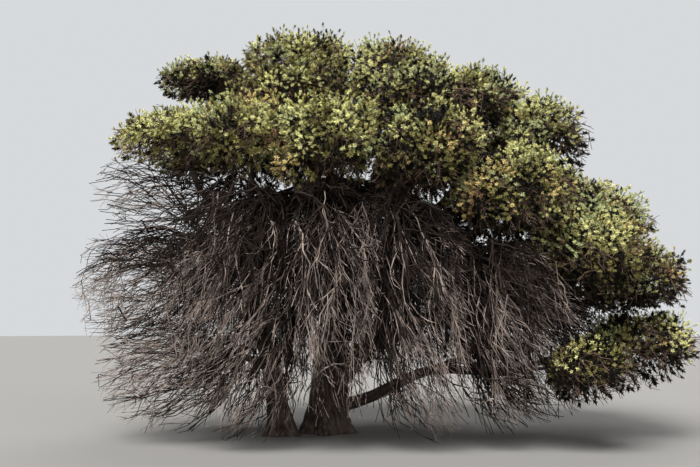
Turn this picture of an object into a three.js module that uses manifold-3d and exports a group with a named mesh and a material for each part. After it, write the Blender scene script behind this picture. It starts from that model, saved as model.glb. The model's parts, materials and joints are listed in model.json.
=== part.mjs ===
// An old, wide juniper: two stems from one root, gnarled boughs, lumps of needle foliage over the top and
// right, and curtains of bare weathered twigs under them and on the left.
// Millimetres, +Z up. The main stem's flat cut at the ground is centred on the origin.
import * as THREE from "three";
import { mergeVertices } from "three/addons/utils/BufferGeometryUtils.js";
import Module from "manifold-3d";

const wasm = await Module();
wasm.setup();

// Driving dimensions
const SEED = 11;
const TOUCH_GAP = 0.3;
const TWIG_CLEARANCE = 12;
const CELL_MARGIN = 0.03;
const GROUND_CLEARANCE = 25;
const SAMPLE_STEP = 60;
const TRIES = 8;

// Stems: foot, top, the bulge of their lean, radii at the foot and top, and the flare of their roots
const STEMS = {
  trunk: {
    foot: [0, 0, 0],
    top: [190, 60, 2150],
    bow: [-90, -40, 0],
    radius: [250, 190],
    flare: 165,
    lobes: 5,
  },
  front_stem: {
    foot: [-600, -350, 0],
    top: [-1080, -520, 2050],
    bow: [110, 30, 0],
    radius: [150, 105],
    flare: 130,
    lobes: 4,
  },
};
const STEM_SIDES = 13;
const STEM_LEVELS = [0, 0.03, 0.08, 0.16, 0.35, 0.84, 0.95, 1];
const STEM_CLOSING = 0.84;
const STEM_ROUNDING = 0.75;
const FLARE_HEIGHT = 190;
const LOBE_DEPTH = 0.14;
const LOBE_DEPTH_ABOVE = 0.05;

// Boughs: what they leave and where along it, base and tip radius, and the mass at their end
const BOUGHS = [
  { name: "leader_left", from: "trunk", at: 0.9, radius: [158, 46], into: "top_mid" },
  { name: "leader_right", from: "trunk", at: 0.3, radius: [150, 44], into: "top_centre" },
  { name: "bough_top_left", from: "leader_left", at: 0.5, radius: [84, 33], into: "top_left_pad" },
  { name: "bough_upper_left", from: "leader_left", at: 0.62, radius: [66, 31], into: "upper_left" },
  { name: "bough_back_mid", from: "trunk", at: 0.86, radius: [110, 40], into: "back_mid" },
  { name: "bough_back_left", from: "trunk", at: 0.72, radius: [100, 38], into: "back_left" },
  { name: "bough_front_mid", from: "trunk", at: 0.8, radius: [96, 36], into: "front_mid" },
  { name: "bough_top_right", from: "leader_right", at: 0.66, radius: [76, 34], into: "top_right" },
  { name: "bough_shoulder", from: "leader_right", at: 0.55, radius: [84, 34], into: "shoulder" },
  { name: "bough_upper_right", from: "leader_right", at: 0.74, radius: [62, 30], into: "upper_right" },
  { name: "bough_front_right", from: "leader_right", at: 0.46, radius: [80, 34], into: "front_right" },
  { name: "bough_right_crest", from: "leader_right", at: 0.36, radius: [95, 36], into: "right_crest" },
  { name: "bough_right_front", from: "bough_right_crest", at: 0.3, radius: [60, 30], into: "right_front" },
  { name: "bough_right_slope", from: "bough_right_crest", at: 0.6, radius: [50, 28], into: "right_slope" },
  { name: "bough_right_dome", from: "leader_right", at: 0.2, radius: [95, 36], into: "right_dome" },
  { name: "bough_right_foot", from: "trunk", at: 0.16, radius: [90, 34], into: "right_foot" },
  { name: "bough_low_green", from: "bough_right_foot", at: 0.4, radius: [50, 26], into: "low_green" },
  { name: "bough_back_right", from: "leader_right", at: 0.5, radius: [88, 36], into: "back_right" },
  { name: "bough_back_shoulder", from: "leader_right", at: 0.4, radius: [78, 34], into: "back_shoulder" },
  { name: "bough_back_low", from: "bough_right_dome", at: 0.3, radius: [62, 32], into: "back_low" },
  { name: "bough_left_tip", from: "front_stem", at: 0.97, radius: [92, 34], into: "left_tip" },
  { name: "bough_front_left", from: "front_stem", at: 0.85, radius: [80, 33], into: "front_left" },
  { name: "bough_bare_left", from: "bough_left_tip", at: 0.2, radius: [46, 24], into: "bare_left" },
  { name: "bough_hang_left", from: "bough_front_mid", at: 0.45, radius: [50, 26], into: "front_curtain" },
  { name: "bough_hang_mid", from: "bough_front_right", at: 0.45, radius: [50, 26], into: "mid_curtain" },
  { name: "bough_hang_right", from: "bough_right_front", at: 0.5, radius: [44, 25], into: "right_curtain" },
];

// Bare masses that grow straight from a stem, and where along it
const STEM_GROWN = {
  left_skirt: { from: "front_stem", at: 0.7 },
  left_low_skirt: { from: "front_stem", at: 0.45 },
  left_curtain: { from: "front_stem", at: 0.56 },
  right_skirt: { from: "trunk", at: 0.5 },
  back_skirt: { from: "trunk", at: 0.66 },
};

// The way that a limb sets off, where that isn't the usual one: towards its mass, and a little up
const SETS_OFF = {
  leader_left: [-0.5, 0.1, 1],
  leader_right: [1, 0.05, 0.6],
  bough_right_foot: [1, -0.1, 0.3],
  right_skirt: [0.5, -1, 0.15],
};
const SETS_OFF_UP = 0.25;
const BOUGH_SIDES = 6;
const BOUGH_STEP = 600;
const BOUGH_TAPER = 1.15;
const LEAVES_BY = 0.36;
const ARRIVES_BY = 0.3;
const COLLAR = 1.2;
const WANDER = 0.045;
const WANDER_TURNS = 1.2;

// Foliage masses: middle, half sizes, and the way that the furthest spray points
const FOLIAGE = {
  top_left_pad: { middle: [-1680, 600, 5110], half: [900, 1150, 400], crest: [-1, 0, 0.1] },
  top_mid: { middle: [-350, 400, 5150], half: [1200, 1400, 770], crest: [0.1, 0, 1] },
  top_centre: { middle: [900, 350, 4980], half: [1220, 1450, 790], crest: [0, 0, 1] },
  top_right: { middle: [2020, 250, 4600], half: [1150, 1400, 770], crest: [0.1, 0, 1] },
  shoulder: { middle: [2880, 0, 4110], half: [930, 1450, 800], crest: [1, 0, 0.2] },
  right_crest: { middle: [3680, -100, 2870], half: [1000, 1400, 800], crest: [0.5, 0, 1] },
  right_dome: { middle: [4080, -250, 2140], half: [990, 1450, 820], crest: [1, 0, 0.1] },
  right_foot: { middle: [4180, -300, 1280], half: [950, 1450, 720], crest: [1, 0, 0] },
  left_tip: { middle: [-2050, -550, 4030], half: [930, 1400, 500], crest: [-1, 0, 0] },
  front_left: { middle: [-950, -1500, 3930], half: [1150, 1100, 680], crest: [-0.3, -1, 0] },
  front_mid: { middle: [80, -1980, 3790], half: [1050, 980, 800], crest: [0, -1, 0] },
  front_right: { middle: [1200, -1930, 3670], half: [1050, 980, 850], crest: [0, -1, 0] },
  right_front: { middle: [2280, -1780, 3100], half: [1100, 1080, 820], crest: [0.2, -1, 0] },
  right_slope: { middle: [3280, -1480, 2380], half: [1000, 1100, 820], crest: [0.4, -1, 0] },
  low_green: { middle: [3150, -2000, 1000], half: [750, 800, 480], crest: [0, -1, -0.2] },
  upper_left: { middle: [-350, -850, 4580], half: [1150, 950, 640], crest: [0, -1, 0.6] },
  upper_right: { middle: [1400, -900, 4450], half: [1200, 1000, 640], crest: [0, -1, 0.6] },
  back_left: { middle: [-1500, 1550, 4220], half: [1450, 1500, 820], crest: [-1, 0.5, 0] },
  back_mid: { middle: [-50, 2000, 4500], half: [1350, 1230, 900], crest: [0, 1, 0] },
  back_right: { middle: [1600, 1850, 4230], half: [1400, 1280, 900], crest: [0, 1, 0] },
  back_shoulder: { middle: [2980, 1200, 3420], half: [1320, 1450, 1000], crest: [0.6, 1, 0] },
  back_low: { middle: [3850, 950, 2120], half: [1100, 1400, 1120], crest: [0.8, 1, 0] },
};
const FOLIAGE_TWIGS = 3;
const FOLIAGE_SPRAYS = 9;
const CORE_SHARE = 0.66;
const CORE_LUMPS = 0.22;
const CORE_MARGIN = 0.06;
const CORE_STEP = 0.03;

// Bare masses, in the same way
const BARE = {
  bare_left: { middle: [-2200, -850, 3250], half: [1000, 1100, 660], crest: [-1, 0, 0.7] },
  left_skirt: { middle: [-2400, -200, 2020], half: [1150, 1550, 1100], crest: [-1, 0, 0] },
  left_low_skirt: { middle: [-2080, -850, 920], half: [1020, 1200, 880], crest: [-1, 0, -0.3] },
  left_curtain: { middle: [-950, -1950, 1780], half: [1200, 1050, 1740], crest: [0, -0.2, -1] },
  front_curtain: { middle: [150, -2150, 1950], half: [1050, 930, 1700], crest: [0, -0.6, -1] },
  mid_curtain: { middle: [1200, -2050, 1720], half: [1050, 930, 1680], crest: [0, -0.4, -1] },
  right_curtain: { middle: [2250, -1850, 1620], half: [1050, 960, 1480], crest: [0, -0.4, -1] },
  right_skirt: { middle: [2950, -280, 1420], half: [1200, 1300, 1270], crest: [0.4, -0.5, -1] },
  back_skirt: { middle: [350, 1750, 2300], half: [2600, 1250, 1750], crest: [-0.6, 0.3, -1] },
};
const BARE_STRANDS = 10;
const BARE_RISE = 0.22;
const BARE_SWAY = 0.16;
const BARE_LONG = 650;
const BELOW_COST = 2;

// Where the heart of a mass lies, up from its middle, as a share of its half height
const FOLIAGE_HEART = -0.12;
const BARE_HEART = 0.35;

// How far out, as a share of a mass's sizes: where its bough ends, its furthest tip, and its other tips
const ENTRY_SHARE = 0.94;
const CREST_SHARE = 0.985;
const TIP_SHARES = [0.86, 0.98];

// The highest and lowest tips of a mass, on a ball of radius 1
const FOLIAGE_TIP_HEIGHTS = [1, -0.5];
const BARE_TIP_HEIGHTS = [0.3, -0.95];

// Steps of a golden-like run in two directions, which spreads points evenly
const EVEN_TURN = 0.7548776662;
const EVEN_LEVEL = 0.569840291;

// The stem of a mass that grows straight from a stem: radius where it leaves and at its heart
const MASS_STEM_RADIUS = [52, 22];
const MASS_STEM_STEPS = 5;
const MASS_STEM_TAPER = [1, 0.85, 0.55];
const MASS_STEM_BEND = 0.4;

// Sprays are toothed blades: each tooth and notch of one side, as shares of the length across and along
const SPRAY_TEETH = [
  [0.04, 0.18],
  [0.34, 0.42],
  [0.15, 0.52],
  [0.26, 0.74],
];
const SPRAY_MIDDLE = 0.5;
const SPRAY_THICKNESS = 0.045;
const SPRAY_WIDTHS = [0.85, 1.15];
const SPRAY_LENGTHS = [420, 640];
const SPRAY_SUNK = 60;
const SPRAY_OUTWARD = 0.4;
const TWIG_RADIUS = [16, 8];
const TWIG_SIDES = 3;
const TWIG_STEP = 150;
const TWIG_SPRAY_SHARE = 0.5;

const BARK = { color: 0x54443a, roughness: 0.95 };
const GREY_TWIGS = { color: 0x8d8078, roughness: 0.9 };
const NEEDLES = [
  { color: 0x7c8748, roughness: 0.75 },
  { color: 0x69784a, roughness: 0.75 },
  { color: 0x97904e, roughness: 0.75 },
];

const UP = new THREE.Vector3(0, 0, 1);
const vector = (list) => new THREE.Vector3(...list);
const along = (a, b, share) => a.clone().lerp(b, share);
const wayTo = (to, from) => to.clone().sub(from).normalize();
const polar = (reach, angle) => new THREE.Vector2(reach * Math.cos(angle), reach * Math.sin(angle));

// A repeatable number from 0 to 1 for a list of whole numbers.
function unit(...keys) {
  let hash = SEED;
  for (const key of keys) {
    hash = Math.imul(hash ^ key, 0x9e3779b1);
    hash ^= hash >>> 15;
    hash = Math.imul(hash, 0x85ebca77);
    hash ^= hash >>> 13;
  }
  return (hash >>> 0) / 4294967296;
}

// Whole number for a name, so that each piece draws its own numbers.
function keyOf(name) {
  return [...name].reduce((sum, letter) => (sum * 31 + letter.charCodeAt(0)) % 65521, 7);
}

// The way that a limb sets off from its base.
function setsOff(name, base, end) {
  if (SETS_OFF[name]) return vector(SETS_OFF[name]).normalize();
  return wayTo(end, base).addScaledVector(UP, SETS_OFF_UP).normalize();
}

function solidOf(positions, index) {
  const geometry = new THREE.BufferGeometry();
  geometry.setAttribute("position", new THREE.Float32BufferAttribute(positions, 3));
  geometry.setIndex(index);
  return solidFrom(geometry);
}

function solidFrom(geometry) {
  return new wasm.Manifold(
    new wasm.Mesh({
      numProp: 3,
      vertProperties: new Float32Array(geometry.attributes.position.array),
      triVerts: new Uint32Array(geometry.index.array),
    }),
  );
}

// The largest body of a solid. Loose scraps go, and a hollow that was sealed is filled.
function largestBody(solid) {
  return solid.decompose().reduce((best, body) => (body.volume() > best.volume() ? body : best));
}

// A closed skin over rings of points that run counter-clockwise about the way they follow.
// outline is the shape of a ring on a flat sheet, from which its two ends are closed.
function skin(rings, outline) {
  const sides = rings[0].length;
  const last = (rings.length - 1) * sides;
  const index = [];
  for (let ring = 0; ring < last; ring += sides) {
    for (let side = 0; side < sides; side += 1) {
      const a = ring + side;
      const b = ring + ((side + 1) % sides);
      index.push(a, b, b + sides, a, b + sides, a + sides);
    }
  }
  for (const [a, b, c] of THREE.ShapeUtils.triangulateShape(outline, [])) {
    index.push(a, c, b, last + a, last + b, last + c);
  }
  return solidOf(rings.flat().flatMap((point) => point.toArray()), index);
}

// Two directions across the way forward, with side x other = forward.
function across(forward) {
  const guide = Math.abs(forward.z) < 0.9 ? UP : new THREE.Vector3(1, 0, 0);
  const side = new THREE.Vector3().crossVectors(guide, forward).normalize();
  return [side, new THREE.Vector3().crossVectors(forward, side)];
}

// A tapering tube of flat sides along a run of points.
function tube(points, radii, sides) {
  const round = Array.from({ length: sides }, (_, s) => polar(1, (s / sides) * 2 * Math.PI));
  let [side] = across(wayTo(points[1], points[0]));
  const rings = points.map((point, i) => {
    const before = points[Math.max(i - 1, 0)];
    const after = points[Math.min(i + 1, points.length - 1)];
    const forward = wayTo(after, before);
    side = side.clone().addScaledVector(forward, -side.dot(forward)).normalize();
    const other = new THREE.Vector3().crossVectors(forward, side);
    return round.map(({ x, y }) =>
      point.clone().addScaledVector(side, radii[i] * x).addScaledVector(other, radii[i] * y),
    );
  });
  return skin(rings, round);
}

// Stems stand on rings that are level, so that the foot is one flat face.
class Stem {
  constructor(name, plan) {
    this.name = name;
    this.plan = plan;
    const foot = vector(plan.foot);
    const top = vector(plan.top);
    const middle = along(foot, top, 0.5).add(vector(plan.bow));
    this.curve = new THREE.QuadraticBezierCurve3(foot, middle, top);
    this.line = STEM_LEVELS.map((level) => this.point(level));
    this.radii = STEM_LEVELS.map((level) => this.radius(level));
  }

  point(share) {
    return this.curve.getPoint(share);
  }

  radius(share) {
    const [foot, top] = this.plan.radius;
    const height = this.point(share).z;
    const closing = Math.max(0, share - STEM_CLOSING) / (1 - STEM_CLOSING);
    const rounded = Math.sqrt(1 - STEM_ROUNDING * closing ** 2);
    return (foot + (top - foot) * share) * rounded + this.plan.flare * Math.exp(-height / FLARE_HEIGHT);
  }

  // The lobed outline of the stem at one level, about its middle.
  outline(level, extra) {
    const turn = unit(keyOf(this.name)) * 2 * Math.PI;
    const fading = Math.exp(-this.point(level).z / FLARE_HEIGHT / 2);
    const depth = THREE.MathUtils.lerp(LOBE_DEPTH_ABOVE, LOBE_DEPTH, fading);
    return Array.from({ length: STEM_SIDES }, (_, s) => {
      const angle = (s / STEM_SIDES) * 2 * Math.PI;
      const lobe = 1 + depth * Math.cos(this.plan.lobes * angle + turn);
      return polar(this.radius(level) * lobe + extra, angle);
    });
  }

  solid(extra = 0) {
    const rings = STEM_LEVELS.map((level) => {
      const middle = this.point(level);
      return this.outline(level, extra).map(({ x, y }) => middle.clone().add({ x, y, z: 0 }));
    });
    return skin(rings, this.outline(0, extra));
  }
}

// A bough: one curve from its parent's middle to the edge of its mass, with a seeded wander.
class Bough {
  constructor(plan, parent, mass) {
    this.name = plan.name;
    this.plan = plan;
    this.parent = parent;
    const base = parent.point(plan.at);
    const tip = mass.entry(base);
    const length = base.distanceTo(tip);
    const leave = setsOff(plan.name, base, tip);
    const arrive = wayTo(mass.heart, tip).add(wayTo(tip, base)).normalize();
    this.curve = new THREE.CubicBezierCurve3(
      base,
      base.clone().addScaledVector(leave, LEAVES_BY * length),
      tip.clone().addScaledVector(arrive, -ARRIVES_BY * length),
      tip,
    );
    this.length = length;
    const steps = Math.max(4, Math.round(length / BOUGH_STEP));
    this.shares = Array.from({ length: steps + 1 }, (_, i) => i / steps);
    this.line = this.shares.map((share) => this.point(share));
    this.radii = this.shares.map((share) => this.radius(share));
  }

  point(share) {
    const key = keyOf(this.name);
    const [side, other] = across(this.curve.getTangent(0.5));
    const reach = WANDER * this.length * Math.sin(Math.PI * share);
    const turns = (k) => share * (WANDER_TURNS + unit(key, k)) + unit(key, k + 10);
    const swing = (k) => Math.sin(2 * Math.PI * turns(k));
    return this.curve
      .getPoint(share)
      .addScaledVector(side, reach * swing(1))
      .addScaledVector(other, reach * swing(2));
  }

  // The way that the last stretch runs, which its flat tip faces.
  facing() {
    return wayTo(this.line.at(-1), this.line.at(-2));
  }

  radius(share) {
    const [base, tip] = this.plan.radius;
    const collar = 1 + (COLLAR - 1) * Math.exp(-share * this.length / base / 2);
    return (tip + (base - tip) * (1 - share) ** BOUGH_TAPER) * collar;
  }

  solid(extra = 0) {
    const line = [...this.line];
    line[0] = line[0].clone().add(line[0].clone().sub(line[1]).setLength(extra));
    line.push(line.pop().clone().addScaledVector(this.facing(), extra));
    return tube(line, this.radii.map((radius) => radius + extra), BOUGH_SIDES);
  }
}

// The space that a mass keeps to, and the seeded run of points at its edge that its twigs reach for.
class Mass {
  constructor(name, plan, bare) {
    this.name = name;
    this.plan = plan;
    this.bare = bare;
    this.key = keyOf(name);
    this.middle = vector(plan.middle);
    this.half = vector(plan.half);
    const rise = (bare ? BARE_HEART : FOLIAGE_HEART) * this.half.z;
    this.heart = this.middle.clone().addScaledVector(UP, rise);
  }

  // How far out a point lies: 0 in the middle, 1 at the edge.
  share(point) {
    return point.clone().sub(this.middle).divide(this.half).length();
  }

  edge(direction, share) {
    return this.middle.clone().add(direction.clone().multiply(this.half).multiplyScalar(share));
  }

  entry(base) {
    return this.edge(base.clone().sub(this.middle).divide(this.half).normalize(), ENTRY_SHARE);
  }

  target(k) {
    if (k === 0) return this.edge(vector(this.plan.crest).divide(this.half).normalize(), CREST_SHARE);
    const turn = 2 * Math.PI * ((k * EVEN_TURN + unit(this.key, 1)) % 1);
    const level = (k * EVEN_LEVEL + unit(this.key, 2)) % 1;
    const height = THREE.MathUtils.lerp(...(this.bare ? BARE_TIP_HEIGHTS : FOLIAGE_TIP_HEIGHTS), level);
    const flat = Math.sqrt(1 - height * height);
    const direction = new THREE.Vector3(flat * Math.cos(turn), flat * Math.sin(turn), height);
    return this.edge(direction, THREE.MathUtils.lerp(...TIP_SHARES, unit(this.key, k, 3)));
  }
}

const stems = Object.entries(STEMS).map(([name, plan]) => new Stem(name, plan));
const limbs = new Map(stems.map((stem) => [stem.name, stem]));
const masses = new Map([
  ...Object.entries(FOLIAGE).map(([name, plan]) => [name, new Mass(name, plan, false)]),
  ...Object.entries(BARE).map(([name, plan]) => [name, new Mass(name, plan, true)]),
]);
for (const plan of BOUGHS) {
  const bough = new Bough(plan, limbs.get(plan.from), masses.get(plan.into));
  limbs.set(plan.name, bough);
  masses.get(plan.into).bough = bough;
}

// A point is in a mass's own space if it is nearer, by that mass's sizes, than any other mass is.
function inSpace(mass, point) {
  if (point.z < GROUND_CLEARANCE) return false;
  const own = mass.share(point);
  if (own > 1) return false;
  return [...masses.values()].every((other) => other === mass || other.share(point) > own + CELL_MARGIN);
}

// Room between a point and the skin of the nearest limb.
function roomAt(point) {
  const nearest = new THREE.Vector3();
  let room = Infinity;
  for (const limb of limbs.values()) {
    for (let i = 1; i < limb.line.length; i += 1) {
      const stretch = new THREE.Line3(limb.line[i - 1], limb.line[i]);
      const share = stretch.closestPointToPointParameter(point, true);
      stretch.at(share, nearest);
      const radius = limb.radii[i - 1] + (limb.radii[i] - limb.radii[i - 1]) * share;
      room = Math.min(room, nearest.distanceTo(point) - radius);
    }
  }
  return room;
}

function isFree(mass, points, radius) {
  return points.every((point) => inSpace(mass, point) && roomAt(point) > radius + TWIG_CLEARANCE);
}

// Points along a run, no further apart than a step.
function sampled(points, step = SAMPLE_STEP) {
  return points.slice(1).flatMap((point, i) => {
    const count = Math.max(1, Math.ceil(point.distanceTo(points[i]) / step));
    return Array.from({ length: count }, (_, n) => along(points[i], point, (n + 1) / count));
  });
}

// The stem of a mass: on from its bough's tip, or out of the stem that carries it.
function stemRun(mass) {
  if (mass.bough) {
    const tip = mass.bough.point(1);
    const forward = mass.bough.facing();
    const start = tip.clone().addScaledVector(forward, TOUCH_GAP);
    const bend = start.clone().addScaledVector(forward, MASS_STEM_BEND * tip.distanceTo(mass.heart));
    return {
      points: [start, bend, mass.heart],
      radii: MASS_STEM_TAPER.map((share) => share * mass.bough.radius(1)),
    };
  }
  const { from, at } = STEM_GROWN[mass.name];
  const base = limbs.get(from).point(at);
  const reach = base.distanceTo(mass.heart);
  const bend = base.clone().addScaledVector(setsOff(mass.name, base, mass.heart), reach / 2);
  const points = new THREE.QuadraticBezierCurve3(base, bend, mass.heart).getPoints(MASS_STEM_STEPS);
  const radii = points.map((_, i) => THREE.MathUtils.lerp(...MASS_STEM_RADIUS, i / MASS_STEM_STEPS));
  return { points, radii };
}

// The node that a new twig grows from: a near one, and better above its tip than below.
function nodeFor(nodes, tip) {
  const cost = (node) => node.distanceTo(tip) + BELOW_COST * Math.max(0, tip.z - node.z);
  return nodes.reduce((best, node) => (cost(node) < cost(best) ? node : best));
}

// A flat blade with teeth on both sides, from its root to its tip, with its outline.
function toothedSpray(root, tip, turn, width) {
  const length = root.distanceTo(tip);
  const forward = wayTo(tip, root);
  const [a, b] = across(forward);
  const side = a.multiplyScalar(Math.cos(turn)).addScaledVector(b, Math.sin(turn));
  const face = new THREE.Vector3().crossVectors(side, forward);
  const place = (x, y, z) =>
    root
      .clone()
      .addScaledVector(side, x * length * width)
      .addScaledVector(forward, y * length)
      .addScaledVector(face, z * length);
  const right = SPRAY_TEETH.map(([x, y]) => place(x, y, 0));
  const left = SPRAY_TEETH.map(([x, y]) => place(-x, y, 0)).reverse();
  const outline = [root.clone(), ...right, tip.clone(), ...left];
  const faces = [place(0, SPRAY_MIDDLE, SPRAY_THICKNESS), place(0, SPRAY_MIDDLE, -SPRAY_THICKNESS)];
  const count = outline.length;
  const index = outline.flatMap((_, i) => [i, (i + 1) % count, count, (i + 1) % count, i, count + 1]);
  return { outline, solid: solidOf([...outline, ...faces].flatMap((point) => point.toArray()), index) };
}

// A lumpy ball of flat faces, each point drawn in until it lies well inside the mass's own space.
function coreBall(mass) {
  const geometry = new THREE.IcosahedronGeometry(1, 1);
  geometry.deleteAttribute("normal");
  geometry.deleteAttribute("uv");
  const ball = mergeVertices(geometry, 1e-3);
  const position = ball.attributes.position;
  for (let i = 0; i < position.count; i += 1) {
    const direction = new THREE.Vector3().fromBufferAttribute(position, i);
    let reach = CORE_SHARE * (1 + CORE_LUMPS * (2 * unit(mass.key, i, 5) - 1));
    while (reach > CORE_MARGIN && !inSpace(mass, mass.edge(direction, reach + CORE_MARGIN))) {
      reach -= CORE_STEP;
    }
    position.setXYZ(i, ...mass.edge(direction, reach).toArray());
  }
  return ball;
}

// The faces of a ball, each as a flat triangle of three points.
function facesOf(ball) {
  const { position } = ball.attributes;
  const corners = Array.from(ball.index.array, (i) => new THREE.Vector3().fromBufferAttribute(position, i));
  return Array.from({ length: corners.length / 3 }, (_, face) => {
    const triangle = new THREE.Triangle(...corners.slice(3 * face, 3 * face + 3));
    const seat = triangle.getMidpoint(new THREE.Vector3());
    return { seat, out: triangle.getNormal(new THREE.Vector3()) };
  });
}

// The free face that suits a spray best: one that leaves it near the wanted length and faces its tip.
function faceFor(faces, tip, wanted) {
  const misfit = ({ seat, out }) => {
    const length = seat.distanceTo(tip);
    const outward = wayTo(tip, seat).dot(out) > SPRAY_OUTWARD;
    return outward ? Math.abs(length - wanted) : Infinity;
  };
  const best = faces.reduce((a, b) => (misfit(b) < misfit(a) ? b : a));
  return misfit(best) < wanted / 2 ? best : null;
}

// Where spray k starts: on its own twig, which branches from the mass's stem, or on a face of the core.
function spraySeat(mass, faces, nodes, tip, k) {
  if (k < FOLIAGE_TWIGS) {
    const from = nodeFor(nodes, tip);
    const end = along(from, tip, 1 - TWIG_SPRAY_SHARE);
    return { twig: [from, end], root: along(from, end, 1 - SPRAY_SUNK / from.distanceTo(end)) };
  }
  const face = faceFor(faces, tip, THREE.MathUtils.lerp(...SPRAY_LENGTHS, unit(mass.key, k, 4)));
  return face && { face, root: face.seat.clone().addScaledVector(wayTo(face.seat, tip), SPRAY_SUNK) };
}

function foliageSolid(mass) {
  const run = stemRun(mass);
  const nodes = sampled(run.points, TWIG_STEP).filter((node) => mass.share(node) < 1);
  const ball = coreBall(mass);
  const faces = facesOf(ball);
  let core = solidFrom(ball);
  for (const limb of limbs.values()) core = core.subtract(limb.solid(TWIG_CLEARANCE));
  let solid = tube(run.points, run.radii, BOUGH_SIDES).add(largestBody(core));
  const sprays = [];
  for (let k = 0; sprays.length < FOLIAGE_SPRAYS && k < TRIES * FOLIAGE_SPRAYS; k += 1) {
    const tip = mass.target(k);
    const seat = spraySeat(mass, faces, nodes, tip, k);
    if (!seat) continue;
    const width = THREE.MathUtils.lerp(...SPRAY_WIDTHS, unit(mass.key, k, 7));
    const spray = toothedSpray(seat.root, tip, Math.PI * unit(mass.key, k, 6), width);
    if (!isFree(mass, sampled([...spray.outline, seat.root]), 0)) continue;
    if (sprays.some((other) => !other.intersect(spray.solid).isEmpty())) continue;
    if (seat.twig) solid = solid.add(tube(seat.twig, TWIG_RADIUS, TWIG_SIDES));
    solid = solid.add(spray.solid);
    sprays.push(spray.solid);
    if (seat.face) faces.splice(faces.indexOf(seat.face), 1);
  }
  return largestBody(solid);
}

// A twig that rises from its node and then hangs to its tip, swaying to one side.
function strand(mass, from, tip, k) {
  const length = from.distanceTo(tip);
  const sway = polar(BARE_SWAY * length, 2 * Math.PI * unit(mass.key, k, 8));
  const bend = along(from, tip, 0.5).add({ x: sway.x, y: sway.y, z: BARE_RISE * length });
  return new THREE.QuadraticBezierCurve3(from, bend, tip).getPoints(length > BARE_LONG ? 3 : 2);
}

function bareSolid(mass) {
  const run = stemRun(mass);
  const nodes = sampled(run.points, TWIG_STEP).filter((node) => mass.share(node) < 1);
  let solid = tube(run.points, run.radii, BOUGH_SIDES);
  let grown = 0;
  for (let k = 0; grown < BARE_STRANDS && k < TRIES * BARE_STRANDS; k += 1) {
    const tip = mass.target(k);
    const points = strand(mass, nodeFor(nodes, tip), tip, k);
    if (!isFree(mass, sampled(points), TWIG_RADIUS[0])) continue;
    const radii = points.map((_, i) => THREE.MathUtils.lerp(...TWIG_RADIUS, i / (points.length - 1)));
    solid = solid.add(tube(points, radii, TWIG_SIDES));
    nodes.push(...sampled(points, TWIG_STEP));
    grown += 1;
  }
  return largestBody(solid);
}

// A mesh placed at its own root, with its geometry about that point.
function meshOf(name, solid, root, finish) {
  const { vertProperties, triVerts } = solid.getMesh();
  const geometry = new THREE.BufferGeometry();
  geometry.setAttribute("position", new THREE.BufferAttribute(vertProperties, 3));
  geometry.setIndex(new THREE.BufferAttribute(triVerts, 1));
  geometry.translate(-root.x, -root.y, -root.z);
  geometry.computeVertexNormals();
  const mesh = new THREE.Mesh(geometry, new THREE.MeshStandardMaterial(finish));
  mesh.name = name;
  mesh.position.copy(root);
  return mesh;
}

const tree = new THREE.Group();
const wood = new THREE.Group();
const crown = new THREE.Group();
tree.add(wood, crown);

const earlier = [];
for (const limb of limbs.values()) {
  const rest = earlier.reduce((solid, other) => solid.subtract(other.solid(TOUCH_GAP)), limb.solid());
  earlier.push(limb);
  wood.add(meshOf(limb.name, largestBody(rest), limb.point(0), BARK));
}
for (const mass of masses.values()) {
  const whole = mass.bare ? bareSolid(mass) : foliageSolid(mass);
  const carrier = limbs.get(STEM_GROWN[mass.name]?.from);
  const solid = carrier ? largestBody(whole.subtract(carrier.solid(TOUCH_GAP))) : whole;
  const finish = mass.bare ? GREY_TWIGS : NEEDLES[Math.floor(unit(mass.key, 8) * NEEDLES.length)];
  crown.add(meshOf(mass.name, solid, mass.heart, finish));
}

export default tree;
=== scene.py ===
"""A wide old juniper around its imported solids: bark in relief, grey twigs, sprays of needles.

Metres, +Z up, +Y away from the camera. The trunk's flat cut at the ground is centred on the origin.
Limbs and masses follow the same plans and the same seeded rule as the solids. From there the growth
goes on to finer twigs, within the same reach.
"""

from __future__ import annotations

import json
import logging
import math
from collections.abc import Iterable, Sequence
from dataclasses import dataclass, field, fields, replace
from enum import Enum, IntEnum

import bpy
import numpy as np
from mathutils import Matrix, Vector, noise

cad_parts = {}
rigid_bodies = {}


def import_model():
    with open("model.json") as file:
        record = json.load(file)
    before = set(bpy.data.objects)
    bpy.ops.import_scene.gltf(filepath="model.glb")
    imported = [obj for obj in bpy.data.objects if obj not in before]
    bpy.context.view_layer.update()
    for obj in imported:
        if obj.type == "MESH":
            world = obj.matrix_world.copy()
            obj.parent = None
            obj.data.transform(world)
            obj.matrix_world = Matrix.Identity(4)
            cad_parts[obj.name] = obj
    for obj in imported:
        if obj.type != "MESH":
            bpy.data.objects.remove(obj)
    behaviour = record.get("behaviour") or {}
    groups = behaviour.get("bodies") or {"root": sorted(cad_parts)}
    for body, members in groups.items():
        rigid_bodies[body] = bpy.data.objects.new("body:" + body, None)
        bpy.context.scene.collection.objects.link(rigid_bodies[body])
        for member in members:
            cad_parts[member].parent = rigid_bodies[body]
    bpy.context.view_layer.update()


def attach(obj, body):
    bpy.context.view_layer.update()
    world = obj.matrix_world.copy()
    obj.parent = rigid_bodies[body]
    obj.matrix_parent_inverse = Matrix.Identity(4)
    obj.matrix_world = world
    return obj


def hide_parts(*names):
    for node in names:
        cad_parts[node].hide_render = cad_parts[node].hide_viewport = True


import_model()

LOG = logging.getLogger("juniper")
Array = np.ndarray
Random = np.random.Generator
Socket = bpy.types.NodeSocket
Color = tuple[float, ...]
Triple = tuple[float, float, float]
Pair = tuple[float, float]

UP = np.array([0.0, 0.0, 1.0])
GOLDEN_ANGLE = math.pi * (3 - math.sqrt(5))
NO_EDGES = np.zeros((0, 2), int)

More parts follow.
